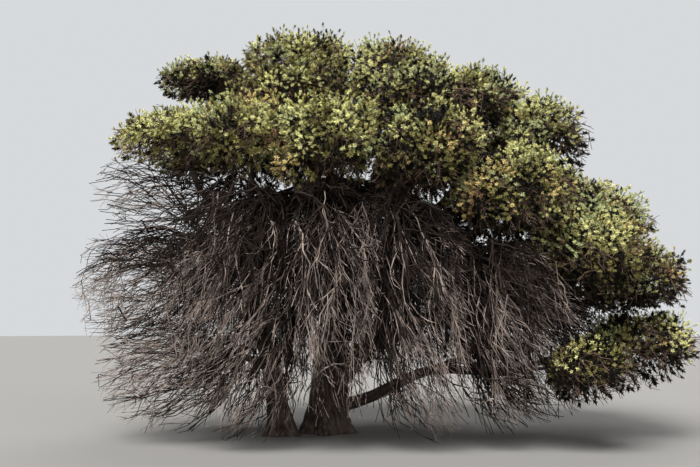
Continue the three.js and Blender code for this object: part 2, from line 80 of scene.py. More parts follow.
# The seeded rule that the solids follow
SEED = 11
HASH_MASK = 0xFFFFFFFF
HASH_ROUNDS = ((0x9E3779B1, 15), (0x85EBCA77, 13))
KEY_START = 7
KEY_FACTOR = 31
KEY_LIMIT = 65521
EVEN_TURN = 0.7548776662
EVEN_LEVEL = 0.569840291
CELL_MARGIN = 0.03
GROUND_CLEARANCE = 0.012
TWIG_CLEARANCE = 0.004
ENTRY_SHARE = 0.94
CREST_SHARE = 0.985
TIP_SHARES = (0.86, 0.98)
BARE_TIP_HEIGHTS = (0.3, -0.95)
FOLIAGE_HEART = -0.12
BARE_HEART = 0.35
BELOW_COST = 2.0

# Stems
STEM_LEVELS = (0, 0.03, 0.08, 0.16, 0.35, 0.84, 0.95, 1)
STEM_CLOSING = 0.84
STEM_ROUNDING = 0.75
FLARE_HEIGHT = 0.19
LOBE_DEPTH = 0.14
LOBE_DEPTH_ABOVE = 0.05
STEM_RING_STEP = 0.035
STEM_RINGS_LOW = 1.15

# Boughs
BOUGH_RING_STEP = 0.065
BOUGH_STEP = 0.6
BOUGH_FEWEST_STEPS = 4
BOUGH_TAPER = 1.15
LEAVES_BY = 0.36
ARRIVES_BY = 0.3
COLLAR = 1.2
WANDER = 0.045
WANDER_TURNS = 1.2
SETS_OFF_UP = 0.25
FEWEST_RINGS = 12
MASS_STEM_BEND = 0.4
MASS_STEM_RADIUS = (0.052, 0.022)
MASS_STEM_TAPER = 0.45
MASS_STEM_STEPS = 5
MASS_STEM_RINGS = 14
BARE_STEM_RINGS = 30
MASS_STEM_END = 0.7

# Twigs
BARE_RISE = 0.22
BARE_SWAY = 0.16
TWIG_STEP = 0.15
LIMB_ROOM = 0.04
NODE_CHANCE = 0.45
LEAN_COST = 1.1
SEAT_TRIES = 14
ARCH_CORNERS = 5
ARCH_ARRIVAL = 0.8
ARCH_BEND = 0.45
ARCH_WANDER = 0.05
WANDER_CYCLES = (1.2, 3.2)
STRAND_CORNERS = 8
SIDE_THICKNESS = 0.85
TUBE_SIDES = 3
CROWN_MIDDLE = (0.3, 0.2, 0.0)
FLOW_SIDEWAYS = 1.6


class Tint(Enum):
    """The plain colours that sprays of needles are dealt."""

    YELLOW_GREEN = "yellow_green"
    GREY_GREEN = "grey_green"
    OLIVE = "olive"
    GOLDEN = "golden"
    BROWN = "brown"
    # Near-black painted shade: for shoots facing down, lumps in hollows and sprays inside the
    # masses
    SHADE = "shade"


class Wood(Enum):
    """The kinds of twig, each with its own finish."""

    WEATHERED = "weathered"
    DARK = "dark"
    DEAD = "dead"
    LEAFY = "leafy"


class Habit(Enum):
    """How the strands of a bare mass run: they hang as a curtain, or fan out from its stem."""

    HANGS = "hangs"
    FANS = "fans"


class Stream(IntEnum):
    """Where each run of even directions of a mass starts its seeded numbers."""

    TIPS = 1
    RIBS = 31
    HANGERS = 41
    HEADS = 61
    CAPS = 71


class Draw(IntEnum):
    """The first of each set of sources of seeded numbers in a mass."""

    STRANDS = 0
    RIBS = 1000
    CAPS = 1500
    LUMPS = 2000
    HANGERS = 3000
    SIDES = 4000
    SHOOTS = 5000
    HANGER_SIDES = 6000
    CORE = 7000


TINTS = list(Tint)
OLIVE, GOLDEN, SHADE = (TINTS.index(tint) for tint in (Tint.OLIVE, Tint.GOLDEN, Tint.SHADE))


@dataclass(frozen=True)
class HabitRule:
    """What a habit asks of a mass's ribs, of the caps over them, and of its strands and twigs."""

    ribs: int
    caps: int
    rib_heights: Pair
    tip_heights: Pair
    rise: Pair
    length: float
    sag: float
    curl: float
    dark_radii: Pair


@dataclass(frozen=True)
class StemPlan:
    """Where a stem stands, its lean and bulge, its radii at foot and top, and its root flare."""

    foot: Triple
    top: Triple
    bow: Triple
    radius: Pair
    flare: float
    lobes: int


@dataclass(frozen=True)
class BoughPlan:
    """What a bough leaves and where, its radii at base and tip, and the mass at its end."""

    parent: str
    at: float
    radius: Pair
    mass: str


@dataclass(frozen=True)
class MassPlan:
    """The middle and half sizes of a mass's space, and the way that its furthest tip lies."""

    middle: Triple
    half: Triple
    crest: Triple


@dataclass(frozen=True)
class FoliagePlan(MassPlan):
    """A dense mass: its lowest leaves, and how golden, lit, shaded and filled with lumps it is; lit
    and shaded are painted light and painted shade in its tints.
    """

    lowest: float
    golden: float = 1.0
    # Painted light: lifts the mass's tints towards the lighter ones and takes painted shade off it
    lit: float = 0.0
    # Painted shade: the least share of its lumps given the shade tint or olive
    shaded: float = 0.0
    filled: float = 1.0


@dataclass(frozen=True)
class BarePlan(MassPlan):
    """A bare mass: the way that its tips sweep to, how its strands lean outwards and down."""

    flow: Triple
    lean: Pair = (0.5, 1.0)
    habit: Habit = Habit.HANGS
    crowding: float = 1.0


HABITS = {
    Habit.HANGS: HabitRule(
        ribs=40,
        caps=46,
        rib_heights=(0.99, 0.1),
        tip_heights=(0.9, -0.98),
        rise=(0.0, 0.2),
        length=1.5,
        sag=1.3,
        curl=1.5,
        dark_radii=(0.014, 0.0065),
    ),
    Habit.FANS: HabitRule(
        ribs=16,
        caps=0,
        rib_heights=(0.9, -0.8),
        tip_heights=(0.95, -0.95),
        rise=(-0.14, 0.12),
        length=1.3,
        sag=0.55,
        curl=0.9,
        dark_radii=(0.0105, 0.0045),
    ),
}
STEMS = {
    "trunk": StemPlan((0, 0, 0), (0.19, 0.06, 2.15), (-0.09, -0.04, 0), (0.25, 0.19), 0.165, 5),
    "front_stem": StemPlan(
        (-0.6, -0.35, 0), (-1.08, -0.52, 2.05), (0.11, 0.03, 0), (0.15, 0.105), 0.13, 4
    ),
}
BOUGHS = {
    "leader_left": BoughPlan("trunk", 0.9, (0.158, 0.046), "top_mid"),
    "leader_right": BoughPlan("trunk", 0.3, (0.15, 0.044), "top_centre"),
    "bough_top_left": BoughPlan("leader_left", 0.5, (0.084, 0.033), "top_left_pad"),
    "bough_upper_left": BoughPlan("leader_left", 0.62, (0.066, 0.031), "upper_left"),
    "bough_back_mid": BoughPlan("trunk", 0.86, (0.11, 0.04), "back_mid"),
    "bough_back_left": BoughPlan("trunk", 0.72, (0.1, 0.038), "back_left"),
    "bough_front_mid": BoughPlan("trunk", 0.8, (0.096, 0.036), "front_mid"),
    "bough_top_right": BoughPlan("leader_right", 0.66, (0.076, 0.034), "top_right"),
    "bough_shoulder": BoughPlan("leader_right", 0.55, (0.084, 0.034), "shoulder"),
    "bough_upper_right": BoughPlan("leader_right", 0.74, (0.062, 0.03), "upper_right"),
    "bough_front_right": BoughPlan("leader_right", 0.46, (0.08, 0.034), "front_right"),
    "bough_right_crest": BoughPlan("leader_right", 0.36, (0.095, 0.036), "right_crest"),
    "bough_right_front": BoughPlan("bough_right_crest", 0.3, (0.06, 0.03), "right_front"),
    "bough_right_slope": BoughPlan("bough_right_crest", 0.6, (0.05, 0.028), "right_slope"),
    "bough_right_dome": BoughPlan("leader_right", 0.2, (0.095, 0.036), "right_dome"),
    "bough_right_foot": BoughPlan("trunk", 0.16, (0.09, 0.034), "right_foot"),
    "bough_low_green": BoughPlan("bough_right_foot", 0.4, (0.05, 0.026), "low_green"),
    "bough_back_right": BoughPlan("leader_right", 0.5, (0.088, 0.036), "back_right"),
    "bough_back_shoulder": BoughPlan("leader_right", 0.4, (0.078, 0.034), "back_shoulder"),
    "bough_back_low": BoughPlan("bough_right_dome", 0.3, (0.062, 0.032), "back_low"),
    "bough_left_tip": BoughPlan("front_stem", 0.97, (0.092, 0.034), "left_tip"),
    "bough_front_left": BoughPlan("front_stem", 0.85, (0.08, 0.033), "front_left"),
    "bough_bare_left": BoughPlan("bough_left_tip", 0.2, (0.046, 0.024), "bare_left"),
    "bough_hang_left": BoughPlan("bough_front_mid", 0.45, (0.05, 0.026), "front_curtain"),
    "bough_hang_mid": BoughPlan("bough_front_right", 0.45, (0.05, 0.026), "mid_curtain"),
    "bough_hang_right": BoughPlan("bough_right_front", 0.5, (0.044, 0.025), "right_curtain"),
}
STEM_GROWN = {
    "left_skirt": ("front_stem", 0.7),
    "left_low_skirt": ("front_stem", 0.45),
    "left_curtain": ("front_stem", 0.56),
    "right_skirt": ("trunk", 0.5),
    "back_skirt": ("trunk", 0.66),
}
SETS_OFF = {
    "leader_left": (-0.5, 0.1, 1),
    "leader_right": (1, 0.05, 0.6),
    "bough_right_foot": (1, -0.1, 0.3),
    "right_skirt": (0.5, -1, 0.15),
}
FOLIAGE = {
    "top_left_pad": FoliagePlan((-1.68, 0.6, 5.11), (0.9, 1.15, 0.4), (-1, 0, 0.1), -0.35),
    "top_mid": FoliagePlan((-0.35, 0.4, 5.15), (1.2, 1.4, 0.77), (0.1, 0, 1), -0.4, lit=0.2),
    "top_centre": FoliagePlan((0.9, 0.35, 4.98), (1.22, 1.45, 0.79), (0, 0, 1), -0.4),
    "top_right": FoliagePlan((2.02, 0.25, 4.6), (1.15, 1.4, 0.77), (0.1, 0, 1), -0.4),
    "shoulder": FoliagePlan((2.88, 0, 4.11), (0.93, 1.45, 0.8), (1, 0, 0.2), -0.5, golden=2.0),
    "right_crest": FoliagePlan(
        (3.68, -0.1, 2.87), (1, 1.4, 0.8), (0.5, 0, 1), -0.6, golden=3.5, shaded=0.12
    ),
    "right_dome": FoliagePlan(
        (4.08, -0.25, 2.14), (0.99, 1.45, 0.82), (1, 0, 0.1), -0.85, golden=2.0, shaded=0.22
    ),
    "right_foot": FoliagePlan(
        (4.18, -0.3, 1.28), (0.95, 1.45, 0.72), (1, 0, 0), -0.6,
        golden=3.0, shaded=0.35, filled=0.75,
    ),
    "left_tip": FoliagePlan(
        (-2.05, -0.55, 4.03), (0.93, 1.4, 0.5), (-1, 0, 0), -0.55, golden=2.0, lit=0.6
    ),
    "front_left": FoliagePlan(
        (-0.95, -1.5, 3.93), (1.15, 1.1, 0.68), (-0.3, -1, 0), -0.75, golden=2.5, lit=0.6
    ),
    "front_mid": FoliagePlan(
        (0.08, -1.98, 3.79), (1.05, 0.98, 0.8), (0, -1, 0), -0.7, golden=2.5, lit=0.4
    ),
    "front_right": FoliagePlan(
        (1.2, -1.93, 3.67), (1.05, 0.98, 0.85), (0, -1, 0), -0.75, golden=4.5, shaded=0.1
    ),
    "right_front": FoliagePlan(
        (2.28, -1.78, 3.1), (1.1, 1.08, 0.82), (0.2, -1, 0), -0.65, golden=5.0
    ),
    "right_slope": FoliagePlan(
        (3.28, -1.48, 2.38), (1, 1.1, 0.82), (0.4, -1, 0), -0.6, golden=3.5, shaded=0.25, filled=0.9
    ),
    "low_green": FoliagePlan(
        (3.15, -2, 1), (0.75, 0.8, 0.48), (0, -1, -0.2), -0.6, golden=2.0, shaded=0.4, filled=0.55
    ),
    "upper_left": FoliagePlan(
        (-0.35, -0.85, 4.58), (1.15, 0.95, 0.64), (0, -1, 0.6), -0.5, shaded=0.4, filled=0.5
    ),
    "upper_right": FoliagePlan(
        (1.4, -0.9, 4.45), (1.2, 1, 0.64), (0, -1, 0.6), -0.5, golden=3.0, shaded=0.3, filled=0.7
    ),
    "back_left": FoliagePlan((-1.5, 1.55, 4.22), (1.45, 1.5, 0.82), (-1, 0.5, 0), -0.8),
    "back_mid": FoliagePlan((-0.05, 2, 4.5), (1.35, 1.23, 0.9), (0, 1, 0), -0.8),
    "back_right": FoliagePlan((1.6, 1.85, 4.23), (1.4, 1.28, 0.9), (0, 1, 0), -0.8),
    "back_shoulder": FoliagePlan((2.98, 1.2, 3.42), (1.32, 1.45, 1), (0.6, 1, 0), -0.8),
    "back_low": FoliagePlan((3.85, 0.95, 2.12), (1.1, 1.4, 1.12), (0.8, 1, 0), -0.6),
}
BARE = {
    "bare_left": BarePlan(
        (-2.2, -0.85, 3.25), (1, 1.1, 0.66), (-1, 0, 0.7), (-1, -0.1, 0),
        lean=(1.0, 0.05), habit=Habit.FANS, crowding=0.75,
    ),
    "left_skirt": BarePlan(
        (-2.4, -0.2, 2.02), (1.15, 1.55, 1.1), (-1, 0, 0), (-1, -0.2, 0),
        lean=(1.0, 0.75), habit=Habit.FANS,
    ),
    "left_low_skirt": BarePlan(
        (-2.08, -0.85, 0.92), (1.02, 1.2, 0.88), (-1, 0, -0.3), (-1, -0.3, 0),
        lean=(1.0, 0.65), habit=Habit.FANS,
    ),
    "left_curtain": BarePlan(
        (-0.95, -1.95, 1.78), (1.2, 1.05, 1.74), (0, -0.2, -1), (-0.9, -0.8, 0), lean=(0.9, 1.0)
    ),
    "front_curtain": BarePlan((0.15, -2.15, 1.95), (1.05, 0.93, 1.7), (0, -0.6, -1), (0.3, -1, 0)),
    "mid_curtain": BarePlan((1.2, -2.05, 1.72), (1.05, 0.93, 1.68), (0, -0.4, -1), (0.9, -0.7, 0)),
    "right_curtain": BarePlan((2.25, -1.85, 1.62), (1.05, 0.96, 1.48), (0, -0.4, -1), (1, -0.5, 0)),
    "right_skirt": BarePlan((2.95, -0.28, 1.42), (1.2, 1.3, 1.27), (0.4, -0.5, -1), (1, -0.3, 0)),
    "back_skirt": BarePlan(
        (0.35, 1.75, 2.3), (2.6, 1.25, 1.75), (-0.6, 0.3, -1), (0.2, 1, 0), crowding=1.05
    ),
}


def unit(*keys: int) -> float:
    """Give a repeatable number for a list of whole numbers.

    Args:
        keys: Whole numbers of 0 or more.

    Returns:
        A number from 0 to 1, the same on every run.
    """
    code = SEED
    for key in keys:
        code ^= key
        for factor, shift in HASH_ROUNDS:
            code = (code * factor) & HASH_MASK
            code ^= code >> shift
    return code / (HASH_MASK + 1)


def key_of(name: str) -> int:
    """Give the whole number from which a named piece draws its numbers.

    Args:
        name: The piece's name.

    Returns:
        A whole number under KEY_LIMIT.
    """
    code = KEY_START
    for letter in name:
        code = (code * KEY_FACTOR + ord(letter)) % KEY_LIMIT
    return code


def lerp(pair: Pair, share: float) -> float:
    """Return the value that lies a share of the way from the first number to the second."""
    return pair[0] + (pair[1] - pair[0]) * share


def normalized(vectors: Array) -> Array:
    """Return vectors, one or a row each, at length 1."""
    return vectors / np.maximum(np.linalg.norm(vectors, axis=-1, keepdims=True), 1e-9)


def across(forward: Array) -> tuple[Array, Array]:
    """Find two directions across a way.

    Args:
        forward: The way, at length 1.

    Returns:
        Two directions, with first x second = forward.
    """
    guide = UP if abs(forward[2]) < 0.9 else np.array([1.0, 0.0, 0.0])
    side = normalized(np.cross(guide, forward))
    return side, np.cross(forward, side)


def bezier(controls: Sequence[Array], shares: Array) -> Array:
    """Follow a Bezier curve.

    Args:
        controls: Its control points, first to last.
        shares: How far along each wanted point lies, from 0 to 1.

    Returns:
        One row for each share.
    """
    order = len(controls) - 1
    t = np.asarray(shares, float)[..., None]
    return sum(
        math.comb(order, i) * t**i * (1 - t) ** (order - i) * np.asarray(point, float)
        for i, point in enumerate(controls)
    )


def sampled(points: Array, step: float) -> Array:
    """Place points along a run, no further apart than a step, without its first point.

    Args:
        points: The run, a row for each corner.
        step: The furthest that two neighbours may be apart.

    Returns:
        The points, a row each.
    """
    rows = []
    for a, b in zip(points[:-1], points[1:]):
        count = max(1, math.ceil(np.linalg.norm(b - a) / step))
        rows.extend(a + (b - a) * (n + 1) / count for n in range(count))
    return np.array(rows)


def sets_off(name: str, base: Array, end: Array) -> Array:
    """Return the way that a limb sets off from its base, at length 1."""
    if name in SETS_OFF:
        return normalized(np.array(SETS_OFF[name], float))
    return normalized(normalized(end - base) + SETS_OFF_UP * UP)


@dataclass
class Stem:
    """A stem that stands on the ground."""

    name: str
    plan: StemPlan
    line: Array = field(init=False)
    radii: Array = field(init=False)

    def __post_init__(self) -> None:
        """Work out the stem's line and radii at the levels that its solid has."""
        levels = np.array(STEM_LEVELS)
        self.line = self.point(levels)
        self.radii = self.radius(levels)

    def point(self, shares: Array) -> Array:
        """Return the points of the stem's middle at shares of its length."""
        foot, top = np.array(self.plan.foot, float), np.array(self.plan.top, float)
        middle = (foot + top) / 2 + np.array(self.plan.bow, float)
        return bezier((foot, middle, top), shares)

    def radius(self, shares: Array) -> Array:
        """Work out the stem's mean radii, with its flare and its closed top.

        Args:
            shares: Shares of its length.

        Returns:
            The radius at each share.
        """
        shares = np.asarray(shares, float)
        foot, top = self.plan.radius
        closing = np.maximum(0, shares - STEM_CLOSING) / (1 - STEM_CLOSING)
        rounded = np.sqrt(1 - STEM_ROUNDING * closing**2)
        height = self.point(shares)[..., 2]
        flare = self.plan.flare * np.exp(-height / FLARE_HEIGHT)
        return (foot + (top - foot) * shares) * rounded + flare

    def lobes(self, height: float, angles: Array) -> Array:
        """Shape the stem's outline at some height.

        Args:
            height: The height.
            angles: The angles round the stem.

        Returns:
            How far the outline stands out at each angle, where 1 is the mean radius.
        """
        turn = unit(key_of(self.name)) * 2 * math.pi
        fading = math.exp(-height / FLARE_HEIGHT / 2)
        depth = lerp((LOBE_DEPTH_ABOVE, LOBE_DEPTH), fading)
        return 1 + depth * np.cos(self.plan.lobes * angles + turn)


@dataclass
class Mass:
    """The space that a mass keeps to, and the run of points at its edge that twigs reach for."""

    name: str
    plan: FoliagePlan | BarePlan
    index: int
    bough: Bough | None = None
    key: int = field(init=False)
    middle: Array = field(init=False)
    half: Array = field(init=False)
    heart: Array = field(init=False)

    def __post_init__(self) -> None:
        """Work out the mass's key and its heart, where its stem ends."""
        self.key = key_of(self.name)
        self.middle = np.array(self.plan.middle, float)
        self.half = np.array(self.plan.half, float)
        rise = BARE_HEART if isinstance(self.plan, BarePlan) else FOLIAGE_HEART
        self.heart = self.middle + UP * rise * self.half[2]

    def draws(self, number: int) -> Random:
        """Return a source of seeded numbers of the mass's own."""
        return np.random.default_rng([SEED, self.key, number])

    def crest(self) -> Array:
        """Return the direction of the furthest tip on the mass's unit ball."""
        return normalized(np.array(self.plan.crest, float) / self.half)

    def share(self, points: Array) -> Array:
        """Return how far out each point lies: 0 in the middle, 1 at the edge."""
        return np.linalg.norm((points - self.middle) / self.half, axis=-1)

    def edge(self, direction: Array, share: float | Array) -> Array:
        """Return the point a share of the way to the edge, in a direction on the unit ball."""
        return self.middle + direction * self.half * share

    def entry(self, base: Array) -> Array:
        """Return the point where a bough from base enters the mass."""
        return self.edge(normalized((base - self.middle) / self.half), ENTRY_SHARE)

    def outward(self, point: Array) -> Array:
        """Return the way straight out of the mass's edge near a point."""
        return normalized((point - self.middle) / self.half**2)

    def direction(self, k: int, heights: Pair, stream: int) -> Array:
        """Give direction k of an even run over the mass's unit ball.

        Args:
            k: Which direction.
            heights: The first and last height on the ball.
            stream: The first of two numbers that choose where the run starts.

        Returns:
            A direction at length 1.
        """
        turn = 2 * math.pi * ((k * EVEN_TURN + unit(self.key, stream)) % 1)
        height = lerp(heights, (k * EVEN_LEVEL + unit(self.key, stream + 1)) % 1)
        flat = math.sqrt(max(0.0, 1 - height * height))
        return np.array([flat * math.cos(turn), flat * math.sin(turn), height])

    def target(self, k: int) -> Array:
        """Give one of the tips that a bare mass's solid has.

        Args:
            k: Which tip, where tip 0 is the furthest one.

        Returns:
            The tip.
        """
        if k == 0:
            return self.edge(self.crest(), CREST_SHARE)
        direction = self.direction(k, BARE_TIP_HEIGHTS, Stream.TIPS)
        return self.edge(direction, lerp(TIP_SHARES, unit(self.key, k, 3)))


@dataclass
class Bough:
    """A bough: one curve from its parent's middle to the edge of its mass, with a seeded wander."""

    name: str
    plan: BoughPlan
    parent: Stem | Bough
    mass: Mass
    controls: tuple[Array, ...] = field(init=False)
    length: float = field(init=False)
    line: Array = field(init=False)
    radii: Array = field(init=False)

    def __post_init__(self) -> None:
        """Work out the bough's curve, and its line and radii at the steps that its solid has."""
        base = self.parent.point(np.array(self.plan.at))
        tip = self.mass.entry(base)
        self.length = float(np.linalg.norm(tip - base))
        leave = sets_off(self.name, base, tip)
        arrive = normalized(normalized(self.mass.heart - tip) + normalized(tip - base))
        bends = base + leave * LEAVES_BY * self.length, tip - arrive * ARRIVES_BY * self.length
        self.controls = (base, *bends, tip)
        steps = max(BOUGH_FEWEST_STEPS, int(self.length / BOUGH_STEP + 0.5))
        shares = np.linspace(0, 1, steps + 1)
        self.line = self.point(shares)
        self.radii = self.radius(shares)

    def point(self, shares: Array) -> Array:
        """Follow the bough's middle.

        Args:
            shares: Shares of its length.

        Returns:
            The point at each share.
        """
        shares = np.asarray(shares, float)
        key = key_of(self.name)
        a, b, c, d = self.controls
        side, other = across(normalized((b - a) + 2 * (c - b) + (d - c)))
        reach = WANDER * self.length * np.sin(np.pi * shares)

        def swing(k: int) -> Array:
            """Return the bough's swing to one side at the shares."""
            turns = shares * (WANDER_TURNS + unit(key, k)) + unit(key, k + 10)
            return (reach * np.sin(2 * np.pi * turns))[..., None]

        return bezier(self.controls, shares) + swing(1) * side + swing(2) * other

    def radius(self, shares: Array) -> Array:
        """Work out the bough's radii, with a collar at its base.

        Args:
            shares: Shares of its length.

        Returns:
            The radius at each share.
        """
        shares = np.asarray(shares, float)
        base, tip = self.plan.radius
        collar = 1 + (COLLAR - 1) * np.exp(-shares * self.length / base / 2)
        return (tip + (base - tip) * (1 - shares) ** BOUGH_TAPER) * collar

    def facing(self) -> Array:
        """Return the way that the bough's last stretch runs."""
        return normalized(self.line[-1] - self.line[-2])


@dataclass
class Run:
    """A limb's line: the points of its middle and its radius at each."""

    points: Array
    radii: Array


class Rows:
    """Arrays with one row for each of many like things."""

    @classmethod
    def joined(cls, parts: Sequence[Rows]) -> Rows:
        """Return several sets as one."""
        return cls(*(np.concatenate([getattr(p, f.name) for p in parts]) for f in fields(cls)))

    def chosen(self, mask: Array) -> Rows:
        """Return only the rows that a mask marks."""
        return type(self)(*(getattr(self, each.name)[mask] for each in fields(self)))


@dataclass
class Twigs(Rows):
    """Twigs with the same number of corners: points, radii and how many corners each keeps."""

    points: Array
    radii: Array
    kept: Array

    @staticmethod
    def single(points: Array, radii: Array) -> Twigs:
        """Return one twig that keeps all its corners."""
        return Twigs(points[None], radii[None], np.array([len(points)]))

    def straightened(self) -> Twigs:
        """Return the twigs as single stretches from first corner to the last that they keep."""
        rows, last = np.arange(len(self.kept)), self.kept - 1
        points = np.stack([self.points[:, 0], self.points[rows, last]], axis=1)
        radii = np.stack([self.radii[:, 0], self.radii[rows, last]], axis=1)
        return Twigs(points, radii, np.full(len(rows), 2))

    def lengths(self) -> Array:
        """Return the length of what each twig keeps."""
        steps = np.linalg.norm(np.diff(self.points, axis=1), axis=2)
        return (steps * (np.arange(1, self.points.shape[1]) < self.kept[:, None])).sum(1)

    def at(self, owners: Array, shares: Array) -> tuple[Array, Array, Array]:
        """Find places along the twigs.

        Args:
            owners: Which twig each place is on.
            shares: How far along it each place is.

        Returns:
            The places, the ways that the twigs run there, and the radii there.
        """
        place = shares * (self.kept[owners] - 1)
        corner = np.minimum(place.astype(int), self.kept[owners] - 2)
        share = place - corner
        start, end = self.points[owners, corner], self.points[owners, corner + 1]
        first, last = self.radii[owners, corner], self.radii[owners, corner + 1]
        radii = first + (last - first) * share
        return start + (end - start) * share[:, None], normalized(end - start), radii


class Space:
    """Which mass each point belongs to, and how much room there is to the limbs."""

    def __init__(self, masses: Sequence[Mass], limbs: Iterable[Stem | Bough]) -> None:
        """Collect the masses' sizes and the limbs' stretches.

        Args:
            masses: All masses, in the order of their indices.
            limbs: All stems and boughs.
        """
        limbs = list(limbs)
        middles = np.array([mass.middle for mass in masses])
        halves = np.array([mass.half for mass in masses])
        starts = np.concatenate([limb.line[:-1] for limb in limbs])
        ends = np.concatenate([limb.line[1:] for limb in limbs])
        radii = np.concatenate([np.stack([limb.radii[:-1], limb.radii[1:]], 1) for limb in limbs])
        reach = radii.max(1)[:, None] + LIMB_ROOM
        self.rivals: list[tuple[Array, Array]] = []
        self.stretches: list[tuple[Array, Array, Array]] = []
        for mass in masses:
            low, high = mass.middle - mass.half, mass.middle + mass.half
            rival = ((middles - halves < high) & (middles + halves > low)).all(1)
            rival[mass.index] = False
            below, above = np.minimum(starts, ends) - reach, np.maximum(starts, ends) + reach
            near = ((below < high) & (above > low)).all(1)
            self.rivals.append((middles[rival], halves[rival]))
            self.stretches.append((starts[near], (ends - starts)[near], radii[near]))

    def inside(self, mass: Mass, points: Array) -> Array:
        """Tell which points lie in a mass's own space.

        Args:
            mass: The mass.
            points: A row for each point.

        Returns:
            True for each point that is above the ground and nearer to this mass than to any other.
        """
        own = mass.share(points)
        inside = (points[:, 2] >= GROUND_CLEARANCE) & (own <= 1)
        for middle, half in zip(*self.rivals[mass.index]):
            inside &= np.linalg.norm((points - middle) / half, axis=1) > own + CELL_MARGIN
        return inside

    def room(self, mass: Mass, points: Array) -> Array:
        """Measure how much room points have.

        Args:
            mass: The mass that they are in.
            points: A row for each point.

        Returns:
            The distance from each point to the skin of the nearest limb.
        """
        starts, ways, radii = self.stretches[mass.index]
        room = np.full(len(points), np.inf)
        for start, way, (first, last) in zip(starts, ways, radii):
            offsets = points - start
            share = np.clip(offsets @ way / (way @ way), 0, 1)
            reach = np.linalg.norm(offsets - share[:, None] * way, axis=1)
            room = np.minimum(room, reach - first - (last - first) * share)
        return room

    def free(self, mass: Mass, points: Array, radius: float) -> Array:
        """Tell which points lie in a mass's own space with room for a twig of some radius."""
        free = self.inside(mass, points)
        free[free] = self.room(mass, points[free]) > radius + TWIG_CLEARANCE
        return free

    def seat(self, mass: Mass, direction: Array, limit: float, least: float) -> Array | None:
        """Find the outermost point of a mass's own space in a direction.

        Args:
            mass: The mass.
            direction: The direction, on the mass's unit ball.
            limit: The furthest share of the way to the edge.
            least: The nearest share that will do.

        Returns:
            The point, or None where the mass has too little room that way.
        """
        points = mass.edge(direction, np.linspace(limit, least, SEAT_TRIES)[:, None])
        inside = self.inside(mass, points)
        return points[int(inside.argmax())] if inside.any() else None

    def cut(self, mass: Mass, twigs: Twigs, radius: float, least: int) -> Twigs:
        """Cut twigs off where they leave their mass's space or come too near a limb.

        Args:
            mass: The mass that they grow in.
            twigs: The twigs.
            radius: The room that they need about their middles.
            least: The fewest corners that a twig must keep to stay.

        Returns:
            The twigs that stay.
        """
        count, corners = twigs.points.shape[:2]
        free = self.free(mass, twigs.points[:, 1:].reshape(-1, 3), radius)
        kept = 1 + np.cumprod(free.reshape(count, corners - 1), axis=1).sum(1)
        return Twigs(twigs.points, twigs.radii, kept).chosen(kept >= least)


@dataclass
class Sprays(Rows):
    """Sprays of needles: where each starts, the way that it points, its size and its tint."""

    roots: Array
    ways: Array
    sizes: Array
    tints: Array


@dataclass
class Tree:
    """The limbs and masses of the tree, planned as the solids are."""

    limbs: dict[str, Stem | Bough] = field(init=False)
    masses: dict[str, Mass] = field(init=False)
    space: Space = field(init=False)

    def __post_init__(self) -> None:
        """Plan the stems, the masses and the boughs between them."""
        self.limbs = {name: Stem(name, plan) for name, plan in STEMS.items()}
        plans = {**FOLIAGE, **BARE}
        self.masses = {name: Mass(name, plans[name], i) for i, name in enumerate(plans)}
        for name, plan in BOUGHS.items():
            mass = self.masses[plan.mass]
            mass.bough = Bough(name, plan, self.limbs[plan.parent], mass)
            self.limbs[name] = mass.bough
        self.space = Space(list(self.masses.values()), self.limbs.values())

    def mass_stem(self, mass: Mass, steps: int) -> Run:
        """Follow a mass's own stem, on from its bough's tip or out of the stem that carries it.

        Args:
            mass: The mass.
            steps: How many stretches the run has.

        Returns:
            The run, from its base to the mass's heart.
        """
        shares = np.linspace(0, 1, steps + 1)
        if mass.bough:
            tip = mass.bough.line[-1]
            bend = tip + mass.bough.facing() * MASS_STEM_BEND * np.linalg.norm(tip - mass.heart)
            radii = mass.bough.radii[-1] * (1 - MASS_STEM_TAPER * shares)
            return Run(bezier((tip, bend, mass.heart), shares), radii)
        carrier, at = STEM_GROWN[mass.name]
        base = self.limbs[carrier].point(np.array(at))
        reach = np.linalg.norm(mass.heart - base) / 2
        bend = base + sets_off(mass.name, base, mass.heart) * reach
        radii = np.interp(shares, (0, 1), MASS_STEM_RADIUS)
        return Run(bezier((base, bend, mass.heart), shares), radii)

    def first_nodes(self, mass: Mass) -> Array:
        """Return the nodes that a mass's stem offers to its first twigs."""
        nodes = sampled(self.mass_stem(mass, MASS_STEM_STEPS).points, TWIG_STEP)
        return nodes[mass.share(nodes) < 1]


def node_for(
    nodes: Array,
    tip: Array,
    length: float = 0.0,
    rng: Random | None = None,
    lean: Array | None = None,
) -> Array:
    """Choose the node that a new twig grows from: a near one, and better above its tip than below.

    Args:
        nodes: The nodes, a row each.
        tip: The twig's tip.
        length: How long the twig is to be, where the nodes allow it.
        rng: A source of seeded numbers that keep twigs from crowding on one node.
        lean: The way that the twig is to run, at length 1.

    Returns:
        The node.
    """
    runs = tip - nodes
    distances = np.linalg.norm(runs, axis=1)
    cost = np.abs(distances - length)
    if lean is not None:
        cost += LEAN_COST * (1 - runs @ lean / np.maximum(distances, 0.01))
    cost += BELOW_COST * np.maximum(0, tip[2] - nodes[:, 2])
    if rng:
        cost += rng.uniform(0, NODE_CHANCE, len(nodes))
    return nodes[int(cost.argmin())]


def extended(nodes: Array, points: Array) -> Array:
    """Return the nodes with those that a run of points adds."""
    return np.concatenate([nodes, sampled(points, TWIG_STEP)])


